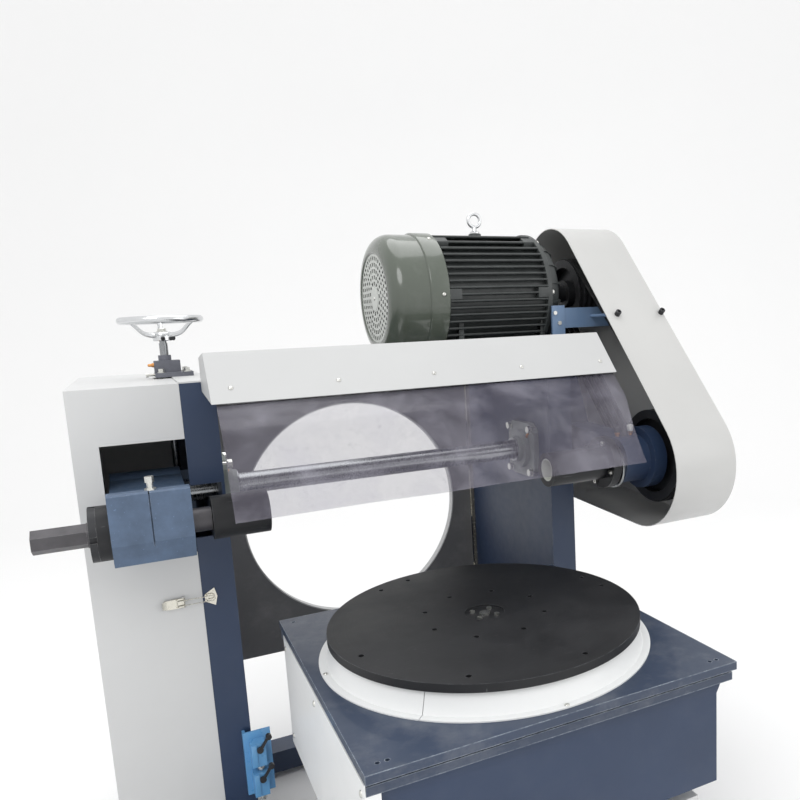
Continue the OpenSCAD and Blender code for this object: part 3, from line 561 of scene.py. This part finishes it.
def motor_frame():
    """Round core with horizontal fins on both sides, and the eyebolt's boss on top."""
    core_r, fin_r, pitch, fins_each_way = 0.191, 0.2135, 0.022, 9
    bm = bmesh.new()
    lathe(bm, [(FINS_FROM, 0.12), (FINS_FROM, core_r), (FINS_TO, core_r), (FINS_TO, 0.12)], MOTOR, "X", 128)
    for n in range(-fins_each_way, fins_each_way + 1):
        dz = n * pitch
        tip = math.sqrt(fin_r ** 2 - dz ** 2)
        root = math.sqrt(core_r ** 2 - dz ** 2) - 0.012 if abs(dz) < core_r else 0.0
        section = [(root, -0.0058), (tip - 0.004, -0.0040), (tip - 0.001, -0.0026), (tip, 0.0),
                   (tip - 0.001, 0.0026), (tip - 0.004, 0.0040), (root, 0.0058)]
        for side in (-1, 1):
            prism(bm, [(MOTOR.y + side * u, MOTOR.z + dz + v) for u, v in section],
                  FINS_FROM + 0.002, FINS_TO - 0.002)
    top = EYE_LOW.z
    boss = [(MOTOR.z + 0.17, 0.026), (top - 0.016, 0.024), (top - 0.002, 0.022), (top, 0.020)]
    lathe(bm, boss, EYE, "Z", 40)
    finish_mesh(bm, "motor_finned_frame", MOTOR_GREEN, "head", ["motor_frame"], angle=30)


def motor_lug_pads():
    """Flat pads for the end shields' bolts, at both ends of the fins."""
    length, foot_r, face_r = 0.042, 0.180, 0.2135
    pad = [(foot_r, -0.021), (face_r, -0.017), (face_r, 0.017), (foot_r, 0.021)]
    bm = bmesh.new()
    for angle in LUGS:
        for near, far in ((FINS_FROM, FINS_FROM + length), (FINS_TO - length, FINS_TO)):
            loft(bm, [[motor_point(x, angle, r, w) for r, w in pad] for x in (near, far)])
    finish_mesh(bm, "motor_lug_pads", MOTOR_GREEN, "head", chamfer=0.0015, angle=30)


def motor_end_shield():
    """Cast end shield: a flange on the frame, a ribbed dome and the shaft's boss, with six bolts."""
    flange = [(-0.004, 0.17), (-0.004, 0.212), (-0.002, 0.214), (0.012, 0.214), (0.014, 0.212),
              (0.014, 0.193)]
    dome = [(0.030, 0.192), (0.052, 0.184), (0.068, 0.160), (0.078, 0.122), (0.084, 0.102)]
    rib = [(0.012, 0.197), (0.040, 0.194), (0.066, 0.178), (0.088, 0.120), (0.088, 0.09), (0.012, 0.09)]
    ribs, half_rib, face = 18, 0.0035, FRAME_HIGH.x
    bm = bmesh.new()
    lathe(bm, counted_from(FINS_TO, flange + dome) + [(face - 0.004, 0.098), (face, 0.094), (face, 0.031)],
          MOTOR, "X", 128)
    for n in range(ribs):
        angle = 10 + 360 / ribs * n
        loft(bm, [[motor_point(FINS_TO + x, angle, r, w) for x, r in rib] for w in (-half_rib, half_rib)])
    finish_mesh(bm, "motor_end_shield", MOTOR_GREEN, "head", angle=30)
    bm = bmesh.new()
    for angle in LUGS:
        hex_head(bm, motor_point(FINS_TO + 0.014, angle, 0.2025), (1, 0, 0), 0.0095, 0.008)
    finish_mesh(bm, "motor_shield_bolts", ZINC, "head", chamfer=0.0004)


def motor_feet():
    """Four feet, each with a web up to the frame."""
    sole = FRAME_LOW.z
    top = sole + 0.018
    bm = bmesh.new()
    for x in (0.228, 0.539):
        for sign in (-1, 1):
            y = MOTOR.y + sign * 0.178
            block(bm, (x - 0.020, y - 0.028, sole), (x + 0.034, y + 0.034, top))
            web = [(y - 0.020, top), (y + 0.020, top), (MOTOR.y + sign * 0.176, MOTOR.z - 0.040),
                   (MOTOR.y + sign * 0.140, MOTOR.z - 0.105)]
            prism(bm, web, x + 0.015, x + 0.034)
    finish_mesh(bm, "motor_feet", MOTOR_GREEN, "head", chamfer=0.003)


def motor_terminal_box():
    """Terminal box on the frame's back, with its lid and cable gland."""
    back = MOTOR.y + 0.180
    lid = back + 0.075
    bm = bmesh.new()
    block(bm, (0.32, back, MOTOR.z - 0.03), (0.47, lid, MOTOR.z + 0.10))
    finish_mesh(bm, "motor_terminal_box", MOTOR_GREEN, "head", chamfer=0.006)
    bm = bmesh.new()
    block(bm, (0.315, lid, MOTOR.z - 0.035), (0.475, lid + 0.008, MOTOR.z + 0.105))
    finish_mesh(bm, "motor_terminal_lid", MOTOR_GREEN, "head", chamfer=0.003)
    bm = bmesh.new()
    stud(bm, (0.395, back + 0.040, MOTOR.z - 0.030), (0, 0, -1),
         [(0, 0.016), (0.014, 0.016), (0.016, 0.013), (0.028, 0.013), (0.030, 0.009)], 24)
    finish_mesh(bm, "motor_cable_gland", PLASTIC, "head")


def motor_eyebolt():
    """Plated eyebolt: a ring on a turned collar."""
    centre = Vector((EYE.x, EYE.y, EYE_LOW.z + 0.046))
    bm = bmesh.new()
    tube(bm, [centre + Vector((math.cos(a), 0, math.sin(a))) * 0.0225 for a in full_turn(48)],
         0.0063, 20, closed=True)
    stud(bm, EYE_LOW + Vector((0.029, 0.017, 0)), (0, 0, 1),
         [(0, 0.0155), (0.001, 0.017), (0.006, 0.017), (0.0075, 0.014), (0.010, 0.0095), (0.020, 0.0075),
          (0.027, 0.0060)], 36)
    finish_mesh(bm, "motor_eyebolt", CHROME, "head", ["eyebolt"])


def ring_of_bridges(bm, x, thick, inner, outer, bridges, width):
    """Arc-shaped bridges between two rings of a grille; width is their share of the ring."""
    for n in range(bridges):
        start = 2 * math.pi * n / bridges
        end = start + 2 * math.pi / bridges * width
        angles = [start, (start + end) / 2, end]
        edges = [(inner, a) for a in angles] + [(outer, a) for a in angles[::-1]]
        prism(bm, [(MOTOR.y + r * math.cos(a), MOTOR.z + r * math.sin(a)) for r, a in edges], x, x + thick)


def fan_cover():
    """Spun fan cover with a rounded shoulder, and a band with six screws at its open end."""
    low, high = span_of("fan_cover")
    rim = (high.z - low.z) / 2
    body, corner, step, sheet = rim - 0.006, 0.056, low.x + 0.127, 0.0022
    outside = [(high.x, rim - 0.003), (high.x - 0.002, rim), (step + 0.004, rim),
               (step + 0.001, rim - 0.002), (step - 0.001, body)]
    outside += [(low.x + corner - corner * math.sin(a), body - corner + corner * math.cos(a))
                for a in quarter_turn(14)]
    outside += [(low.x, 0.151), (low.x + 0.002, 0.148), (low.x + 0.008, 0.147)]
    inside = [(min(x + sheet, high.x), r - sheet) for x, r in outside[::-1]]
    bm = bmesh.new()
    lathe(bm, outside + inside, MOTOR, "X", 128, closed=True)
    finish_mesh(bm, "motor_fan_cover", OLIVE, "head", ["fan_cover"], angle=50)
    bm = bmesh.new()
    for angle in LUGS:
        pan_head(bm, motor_point(high.x - 0.022, angle, rim - 0.0004), round_motor(angle)[0], 1.2, 1.15)
    finish_mesh(bm, "motor_cover_screws", ZINC, "head", angle=40)


def grille():
    """Six flat rings joined by bridges, with a plate and a screw in the middle."""
    x, thick = GRILLE_X, 0.002
    rings, width, gap, overlap = 6, 0.0080, 0.0126, 0.0005
    bm = bmesh.new()
    plate = [(-0.001, 0.001), (-0.001, 0.038), (thick, 0.038), (thick, 0.001)]
    lathe(bm, counted_from(x, plate), MOTOR, "X", 48)
    for n in range(rings):
        inner = 0.036 + n * (width + gap)
        outer = inner + width
        lathe(bm, [(x, inner), (x, outer), (x + thick, outer), (x + thick, inner)], MOTOR, "X", 96,
              closed=True)
        if n < rings - 1:
            ring_of_bridges(bm, x, thick, outer - overlap, outer + gap + overlap, 14 + 7 * n, 0.42)
    finish_mesh(bm, "motor_grille", GRILLE, "head", angle=30)
    bm = bmesh.new()
    pan_head(bm, (x - 0.001, MOTOR.y, MOTOR.z), (-1, 0, 0))
    finish_mesh(bm, "motor_grille_screw", ZINC, "head", angle=40)


def fan():
    """Nine-bladed fan on the motor's rotor, seen through the grille."""
    hub = [(0.012, 0.002), (0.012, 0.030), (0.07, 0.04), (0.07, 0.002)]
    blade = [(0.028, 0.020), (0.150, 0.026), (0.180, 0.075), (0.170, 0.090), (0.034, 0.070)]
    blades, half_blade = 9, 0.0015
    bm = bmesh.new()
    lathe(bm, counted_from(GRILLE_X, hub), MOTOR, "X", 32)
    for n in range(blades):
        loft(bm, [[motor_point(GRILLE_X + x, 360 / blades * n, r, s) for r, x in blade]
                  for s in (-half_blade, half_blade)])
    finish_mesh(bm, "motor_fan", PLASTIC, "rotor", angle=30)


motor_frame()
motor_lug_pads()
motor_end_shield()
motor_feet()
motor_terminal_box()
motor_eyebolt()
fan_cover()
grille()
fan()

# ---------------------------------------------------------------- belt guard and drive


def guard():
    """Belt guard: a sheet band round the pulleys and a side plate with a rounded fold between them."""
    low, high = span_of("guard_shell")
    top_r, front_r, rear_r = 0.192, 0.1996, 0.184
    rear = (0.7547, 1.1625)
    bends = [((MOTOR.y, high.z - top_r), top_r), ((low.y + front_r, low.z + front_r), front_r),
             (rear, rear_r)]
    sheet, fold = 0.0026, 0.004

    def outline(shrink):
        return hull([point for centre, radius in bends for point in circle(centre, radius - shrink)])

    def ring(x, points):
        return [Vector((x, u, v)) for u, v in points]

    outlines = [outline(shrink) for shrink in (0, fold, sheet)]
    size = min(len(points) for points in outlines)
    outer, folded, inner = [resample(points, size) for points in outlines]
    eased = [((u + 2 * p) / 3, (v + 2 * q) / 3) for (u, v), (p, q) in zip(folded, outer)]
    bm = bmesh.new()
    outside = loft(bm, [ring(low.x, outer), ring(high.x - fold, outer), ring(high.x - fold * 0.3, eased),
                        ring(high.x, folded)], caps=False)
    bm.faces.new(outside[-1])
    inside = loft(bm, [ring(low.x, inner), ring(high.x - sheet, inner)], caps=False)
    bm.faces.new(inside[-1])
    for n in range(size):
        m = (n + 1) % size
        bm.faces.new((outside[0][n], outside[0][m], inside[0][m], inside[0][n]))
    finish_mesh(bm, "belt_guard", GUARD_GREY, "head", ["guard_shell"], angle=40)


def belts():
    """Four V-belts round both pulleys, each a wedge section swept along the pulleys' hull."""
    spin_low, spin_high = span_of("spindle_pulley")
    rotor_low, rotor_high = span_of("motor_pulley")
    spindle, rotor = (SPIN.y, SPIN.z), (MOTOR.y, MOTOR.z)
    middle = (Vector(spindle) + Vector(rotor)) / 2
    loop = resample(hull(circle(spindle, (spin_high.z - spin_low.z) / 2)
                         + circle(rotor, (rotor_high.z - rotor_low.z) / 2)), 220)
    section = [(-0.0085, 0.0055), (0.0085, 0.0055), (0.0055, -0.006), (-0.0055, -0.006)]
    first, pitch = spin_low.x + 0.014, 0.024
    bm = bmesh.new()
    for x in (first + pitch * n for n in range(4)):
        rings = []
        for m, (u, v) in enumerate(loop):
            way = (Vector(loop[(m + 1) % len(loop)]) - Vector(loop[m - 1])).normalized()
            out = Vector((-way.y, way.x))
            if out.dot(Vector((u, v)) - middle) < 0:
                out = -out
            rings.append([Vector((x + dx, u + out.x * d, v + out.y * d)) for dx, d in section])
        loft(bm, rings, caps=False, close_rows=True)
    finish_mesh(bm, "v_belts", RUBBER, "head", ["drive_belts"], angle=25)


def guard_screws():
    """Socket screws through the guard's sloping front into its stays."""
    low, high = span_of("guard_knobs")
    middle = (low + high) / 2
    square_to_front = Vector((0, -0.7511, 0.6602))
    head = [(-0.001, 0.0100), (0.0155, 0.0100), (0.0170, 0.0085), (0.0170, 0.0050), (0.0100, 0.0050)]
    bm = bmesh.new()
    for x in (low.x + 0.011, high.x - 0.011):
        stud(bm, Vector((x, middle.y, middle.z)) - square_to_front * 0.0085, square_to_front, head, 24)
    finish_mesh(bm, "guard_socket_screws", BLACK_PART, "head", ["guard_knobs"], angle=30)


guard()
belts()
guard_screws()

# ---------------------------------------------------------------- handwheel


def handwheel():
    """Chromed wheel with three bent spokes, a hub with set screws and a centre nut."""
    low, high = span_of("handwheel")
    grip, spokes = 0.0105, 3
    rim_r = (high.x - low.x) / 2 - grip
    hub_z, hub_top = low.z + 0.007, 0.027
    bm = bmesh.new()
    tube(bm, [WHEEL + Vector((rim_r * math.cos(a), rim_r * math.sin(a), 0)) for a in full_turn(120)],
         grip, 24, closed=True)
    bend = [(0.014, -0.046), (0.040, -0.044), (0.062, -0.036), (0.088, -0.012), (rim_r - 0.004, 0.0)]
    for n in range(spokes):
        a = math.radians(90 + 360 / spokes * n)
        way = Vector((math.cos(a), math.sin(a), 0))
        route = spline([WHEEL + way * r + Vector((0, 0, dz)) for r, dz in bend], 8)
        tube(bm, route, [0.0095 - 0.0025 * m / len(route) for m in range(len(route))], 16, flatten=0.7)
    hub = [(0, 0.0125), (0, 0.025), (0.002, 0.027), (0.021, 0.027), (0.025, 0.024), (hub_top, 0.020),
           (hub_top, 0.0105)]
    lathe(bm, counted_from(hub_z, hub), WHEEL, "Z", 48)
    finish_mesh(bm, "handwheel_chromed", CHROME, "handwheel", ["handwheel"], angle=40)
    bm = bmesh.new()
    hex_head(bm, (WHEEL.x, WHEEL.y, hub_z + hub_top), (0, 0, 1), 0.012, 0.008, washer=0.015)
    finish_mesh(bm, "handwheel_nut", ZINC, "handwheel", chamfer=0.0006)
    bm = bmesh.new()
    for way in ((0, -0.985, -0.174), (0.853, -0.492, -0.174)):
        stud(bm, WHEEL + Vector((0, 0, -0.050)) + Vector(way) * 0.024, way,
             [(0, 0.0062), (0.012, 0.0062), (0.014, 0.005), (0.014, 0.003), (0.009, 0.003)])
    finish_mesh(bm, "handwheel_set_screws", BLACK_PART, "handwheel", angle=30)


def bracket_fitting():
    """Grease fitting on the lead screw's bracket."""
    low = span_of("screw_bracket")[0]
    bm = bmesh.new()
    stud(bm, (low.x + 0.0005, WHEEL.y - 0.015, low.z + 0.036), (-1, 0, 0),
         [(0, 0.0065), (0.006, 0.0065), (0.007, 0.0048), (0.016, 0.0042), (0.018, 0.0025)])
    finish_mesh(bm, "bracket_grease_fitting", BRASS, "root", angle=30)


handwheel()
bracket_fitting()

# ---------------------------------------------------------------- shield, hood and screws


def shield_curve():
    """The CAD sheet's front side at its left end, from the top down, as a smooth curve."""
    left = span_of("shield")[0].x
    front = {}
    for vertex in frame["nodes"]["shield"].data.vertices:
        x, y, z = vertex.co
        if x < left + 0.001:
            level = round(z, 4)
            front[level] = min(front.get(level, y), y)
    return spline([Vector((0, y, z)) for z, y in sorted(front.items(), reverse=True)], 6)


def shield():
    """Hanging smoky sheet: the CAD profile smoothed, with slight waves towards its free edge."""
    low, high = span_of("shield")
    curve = shield_curve()
    columns, last, clearance, thick = 80, len(curve) - 1, 0.0004, 0.002

    def point(m, n, depth):
        x = low.x + (high.x - low.x) * n / columns
        down = m / last
        wave = noise.noise(Vector((x * 2.6, down * 1.7, 3.1))) * 0.010 * down
        wave += math.sin(x * 13.0 + 1.0) * 0.0014 * down
        sag = noise.noise(Vector((x * 1.9, 8.2, 0))) * 0.004 * down
        return x, curve[m].y + depth + abs(wave), curve[m].z + abs(sag)

    front, back = [[[point(m, n, depth) for n in range(columns + 1)] for m in range(last + 1)]
                   for depth in (clearance, clearance + thick)]
    bm = bmesh.new()
    sheet_between(bm, front, back)
    finish_mesh(bm, "shield_sheet", PVC, "shield", ["shield"], angle=60)


def hood_screws():
    """Five domed screws along the hood's sloping front."""
    low, high = span_of("hood_screws")
    corner = span_of("hood")[0]
    slope = Vector((0, 0.107, 0.121)).normalized()
    out = Vector((0, -slope.z, slope.y))
    bm = bmesh.new()
    for x in (low.x + 0.006, low.x + 0.271, (low.x + high.x) / 2 - 0.0065, high.x - 0.277, high.x - 0.006):
        pan_head(bm, Vector((x, corner.y, corner.z)) + slope * 0.046, out)
    finish_mesh(bm, "hood_screw_heads", ZINC, "root", ["hood_screws"], angle=40)


def table_screws():
    """Domed screws of the skirt round the turntable and of the table's side panel."""
    skirt_r, flange = 0.415, span_of("table_top_plate")[1].z + 0.003
    face = span_of("side_panel")[0].x
    upper, lower = 0.770, 0.510
    bm = bmesh.new()
    for angle in (178, 270, 20, 90):
        a = math.radians(angle)
        pan_head(bm, (skirt_r * math.cos(a), skirt_r * math.sin(a), flange), (0, 0, 1))
    for y, z in ((-0.405, upper), (-0.405, lower), (0, upper), (0.360, upper), (0.360, lower), (0, lower)):
        pan_head(bm, (face, y, z), (-1, 0, 0), 1.1, 1.2)
    finish_mesh(bm, "table_screw_heads", ZINC, "table", ["table_screws"], angle=40)


shield()
hood_screws()
table_screws()

# ---------------------------------------------------------------- spindle and bearing details


def chuck_sleeve():
    """White sleeve in the driven chuck."""
    start = span_of("spindle_shaft")[0].x
    bm = bmesh.new()
    lathe(bm, counted_from(start, [(0.001, 0.0346), (0.001, 0.0312), (0.004, 0.0300), (0.118, 0.0300),
                                   (0.118, 0.0346)]), SPIN, "X", 64, closed=True)
    finish_mesh(bm, "chuck_sleeve", LINER, "spindle", angle=40)


def lubricators():
    """Two oil fittings, one with a pale cup and one with a black cap, and a black plug between them."""
    low, high = span_of("oil_cups")
    y, z = (low.y + high.y) / 2, low.z
    near, mid, far = low.x + 0.012, low.x + 0.036, high.x - 0.012
    cup = [(0.013, 0.006), (0.014, 0.0095), (0.030, 0.0115), (0.033, 0.0105), (0.036, 0.005)]
    plug = [(0, 0.0135), (0.017, 0.0135), (0.021, 0.0115), (0.022, 0.004)]
    cap = [(0.013, 0.006), (0.015, 0.0105), (0.031, 0.0105), (0.034, 0.007)]
    bm = bmesh.new()
    for x in (near, far):
        lathe(bm, counted_from(z, [(0, 0.0065), (0.006, 0.0065)]), (x, y, 0), "Z", 20)
        lathe(bm, counted_from(z, [(0.006, 0.0095), (0.013, 0.0095)]), (x, y, 0), "Z", 6)
    finish_mesh(bm, "lubricator_fittings", BRASS, "head", ["oil_cups"], chamfer=0.0005)
    bm = bmesh.new()
    lathe(bm, counted_from(z, cup), (far, y, 0), "Z", 28)
    finish_mesh(bm, "lubricator_cup", CUP, "head")
    bm = bmesh.new()
    lathe(bm, counted_from(z, plug), (mid, y, 0), "Z", 32)
    lathe(bm, counted_from(z, cap), (near, y, 0), "Z", 28)
    finish_mesh(bm, "lubricator_caps", PLASTIC, "head")


def bearing_details():
    """Inner ring and grease nipple of both flange bearings."""
    ring = [(-0.014, 0.0345), (-0.014, 0.0425), (0.003, 0.0425), (0.004, 0.0415), (0.004, 0.0345)]
    for name, sign in (("left", 1), ("right", -1)):
        low, high = span_of(name + "_flange_bearing")
        face = high.x if sign > 0 else low.x
        bm = bmesh.new()
        lathe(bm, counted_from(face, ring, sign), PIVOT, "X", 64, closed=True)
        finish_mesh(bm, name + "_bearing_inner_ring", STEEL, "head", angle=30)
        bm = bmesh.new()
        spot = Vector((face - sign * 0.030, PIVOT.y - 0.046, PIVOT.z + 0.046))
        way = Vector((0, -1, 1)).normalized()
        tube(bm, [spot, spot + way * 0.010, spot + way * 0.011, spot + way * 0.018, spot + way * 0.020],
             [0.006, 0.006, 0.0035, 0.0035, 0.0015], 14)
        finish_mesh(bm, name + "_bearing_nipple", BRASS, "root", angle=40)


chuck_sleeve()
lubricators()
bearing_details()

# ---------------------------------------------------------------- latch, duct collar, switches

LEVER_LOW = span_of("latch_lever")[0]
LEVER_PIN, BAIL_PIN = joint_at("latch_lever_open"), joint_at("latch_bail_swing")
LEVER_FACE = 0.438


def latch_base():
    """The latch's thin plate on the left cover."""
    front, z = span_of("left_post")[0].y, LEVER_PIN.z
    bm = bmesh.new()
    block(bm, (LEVER_LOW.x + 0.004, front - 0.0010, z - 0.010),
          (LEVER_PIN.x + 0.004, front + 0.0002, z + 0.010))
    finish_mesh(bm, "latch_base", NICKEL, "cover", chamfer=0.0003)


def latch_lever():
    """Curled lever plate with ears for the lever's pin and the bail's pin."""
    x0, x1, z, face, thick = LEVER_LOW.x, LEVER_PIN.x, LEVER_PIN.z, LEVER_FACE, 0.0016
    spine = [(x0 - 0.001, face - 0.0035, 0.009), (x0 + 0.007, face - 0.0004, 0.012),
             (x0 + 0.017, face, 0.013), (x1 - 0.012, face, 0.013), (x1 - 0.001, face + 0.0008, 0.012)]
    front, back = [[[(x, y + depth, z + s * half) for s in (-1, -0.6, 0.6, 1)] for x, y, half in spine]
                   for depth in (0.0, thick)]
    bm = bmesh.new()
    sheet_between(bm, front, back)
    for s in (-1, 1):
        pin_ear, bail_ear = z + s * 0.012, z + s * 0.0105
        block(bm, (x0 + 0.022, face + 0.001, pin_ear - 0.0008),
              (x1 - 0.004, face + 0.008, pin_ear + 0.0008))
        block(bm, (BAIL_PIN.x - 0.003, face - 0.004, bail_ear - 0.0009),
              (BAIL_PIN.x + 0.003, face + 0.0006, bail_ear + 0.0009))
    pin = [(0, 0.0018), (0.0030, 0.0018), (0.0032, 0.0030), (0.0292, 0.0030), (0.0294, 0.0018),
           (0.0324, 0.0018)]
    stud(bm, (LEVER_PIN.x, LEVER_PIN.y, z - 0.0162), (0, 0, 1), pin)
    finish_mesh(bm, "latch_lever_plate", NICKEL, "latch_lever", ["latch_lever"], angle=35)


def latch_bail():
    """Wire bail that reaches from its pin over the strike."""
    start, end = BAIL_PIN.x, span_of("latch_bail")[1].x - 0.0014
    half, corner, z = 0.007, 0.004, LEVER_PIN.z
    loop = [(start, -half), (end - corner, -half), (end, -half + corner)]
    loop += [(x, -w) for x, w in loop[::-1]]
    bm = bmesh.new()
    tube(bm, [Vector((x, BAIL_PIN.y, z + w)) for x, w in loop], 0.0013, 12, closed=True)
    stud(bm, (start, BAIL_PIN.y, z - 0.012), (0, 0, 1), [(0, 0.00125), (0.024, 0.00125)], 12)
    finish_mesh(bm, "latch_bail_wire", NICKEL, "latch_bail", ["latch_bail"], angle=50)


def duct_collar():
    """Pale collar round the opening in the rear panel."""
    low, high = span_of("rear_door")
    centre, radius = Vector((-0.030, 0, 0.953)), 0.408
    front, back = low.y, high.y
    bm = bmesh.new()
    lathe(bm, [(front - 0.001, radius - 0.0006), (front - 0.001, radius + 0.004),
               (front + 0.0032, radius + 0.0042), (back + 0.001, radius + 0.0040),
               (back + 0.002, radius + 0.002), (back + 0.001, radius - 0.0006)],
          centre, "Y", 160, closed=True)
    finish_mesh(bm, "duct_collar", GREY, "rear_door", angle=35)


def switch_details():
    """Lids and conduit glands of the limit switches."""
    front = span_of("limit_switches")[0].y
    nut = [(-0.055, 0.006), (-0.052, 0.009), (-0.044, 0.009)]
    body = [(-0.044, 0.0105), (-0.034, 0.0105)]
    for n, joint in enumerate(("lower_switch_press", "upper_switch_press")):
        at = joint_at(joint)
        z = at.z - 0.018
        bm = bmesh.new()
        block(bm, (at.x - 0.0225, front - 0.004, z - 0.033), (at.x - 0.008, front + 0.0005, z + 0.033))
        finish_mesh(bm, f"switch_lid_{n}", SWITCH_BLUE, "root", chamfer=0.0012)
        bm = bmesh.new()
        lathe(bm, counted_from(z, nut), (at.x, front + 0.018, 0), "Z", 6)
        lathe(bm, counted_from(z, body), (at.x, front + 0.018, 0), "Z", 24)
        finish_mesh(bm, f"switch_gland_{n}", ZINC, "root", chamfer=0.0004)


latch_base()
latch_lever()
latch_bail()
duct_collar()
switch_details()

# ---------------------------------------------------------------- studio


def flat_material(name, colour, rough):
    s = Shader(name)
    s.set(Base_Color=s.mix(s.noise(0.6, 3), rgba(colour, 0.99), rgba(colour, 1.01)), Roughness=rough)
    return s.material


def studio_floor():
    """Pale seamless floor that curves up behind the machine."""
    depth, bend, height, width = 7.0, 2.5, 9.0, 16.0
    side = [(-9.0, 0.0), (depth - bend, 0.0)]
    side += [(depth - bend + bend * math.sin(a), bend - bend * math.cos(a)) for a in quarter_turn(16)[1:]]
    side += [(depth, height)]
    bm = bmesh.new()
    rows = [[bm.verts.new((x, y, z)) for y, z in side] for x in (-width, width)]
    for n in range(len(side) - 1):
        bm.faces.new((rows[0][n], rows[1][n], rows[1][n + 1], rows[0][n + 1]))
    mesh = bpy.data.meshes.new("studio_floor")
    bm.to_mesh(mesh)
    bm.free()
    mesh.shade_smooth()
    mesh.materials.append(flat_material("studio_white", (0.90, 0.90, 0.90), 0.9))
    floor = bpy.data.objects.new("studio_floor", mesh)
    floor.matrix_world = Matrix.Rotation(-YAW, 4, "Z")
    bpy.context.scene.collection.objects.link(floor)


def soft_world():
    world = bpy.data.worlds.new("soft_white")
    world.use_nodes = True
    world.node_tree.nodes["Background"].inputs["Color"].default_value = (1, 1, 1, 1)
    world.node_tree.nodes["Background"].inputs["Strength"].default_value = 1.0
    bpy.context.scene.world = world


def soft_light(name, place, size, power):
    """A round area light that looks at the machine's middle."""
    target = Vector((0, 0.4, 1.1))
    light = bpy.data.lights.new(name, "AREA")
    light.shape, light.size, light.energy = "DISK", size, power
    lamp = bpy.data.objects.new(name, light)
    lamp.location = place
    lamp.rotation_euler = (target - Vector(place)).to_track_quat("-Z", "Y").to_euler()
    bpy.context.scene.collection.objects.link(lamp)


studio_floor()
soft_world()
soft_light("key", (-2.6, -2.6, 4.6), 2.6, 60)
soft_light("fill", (3.4, -2.8, 2.6), 3.0, 25)
soft_light("top", (0.2, 1.2, 5.2), 3.6, 60)
bpy.context.scene.view_settings.view_transform = "Standard"
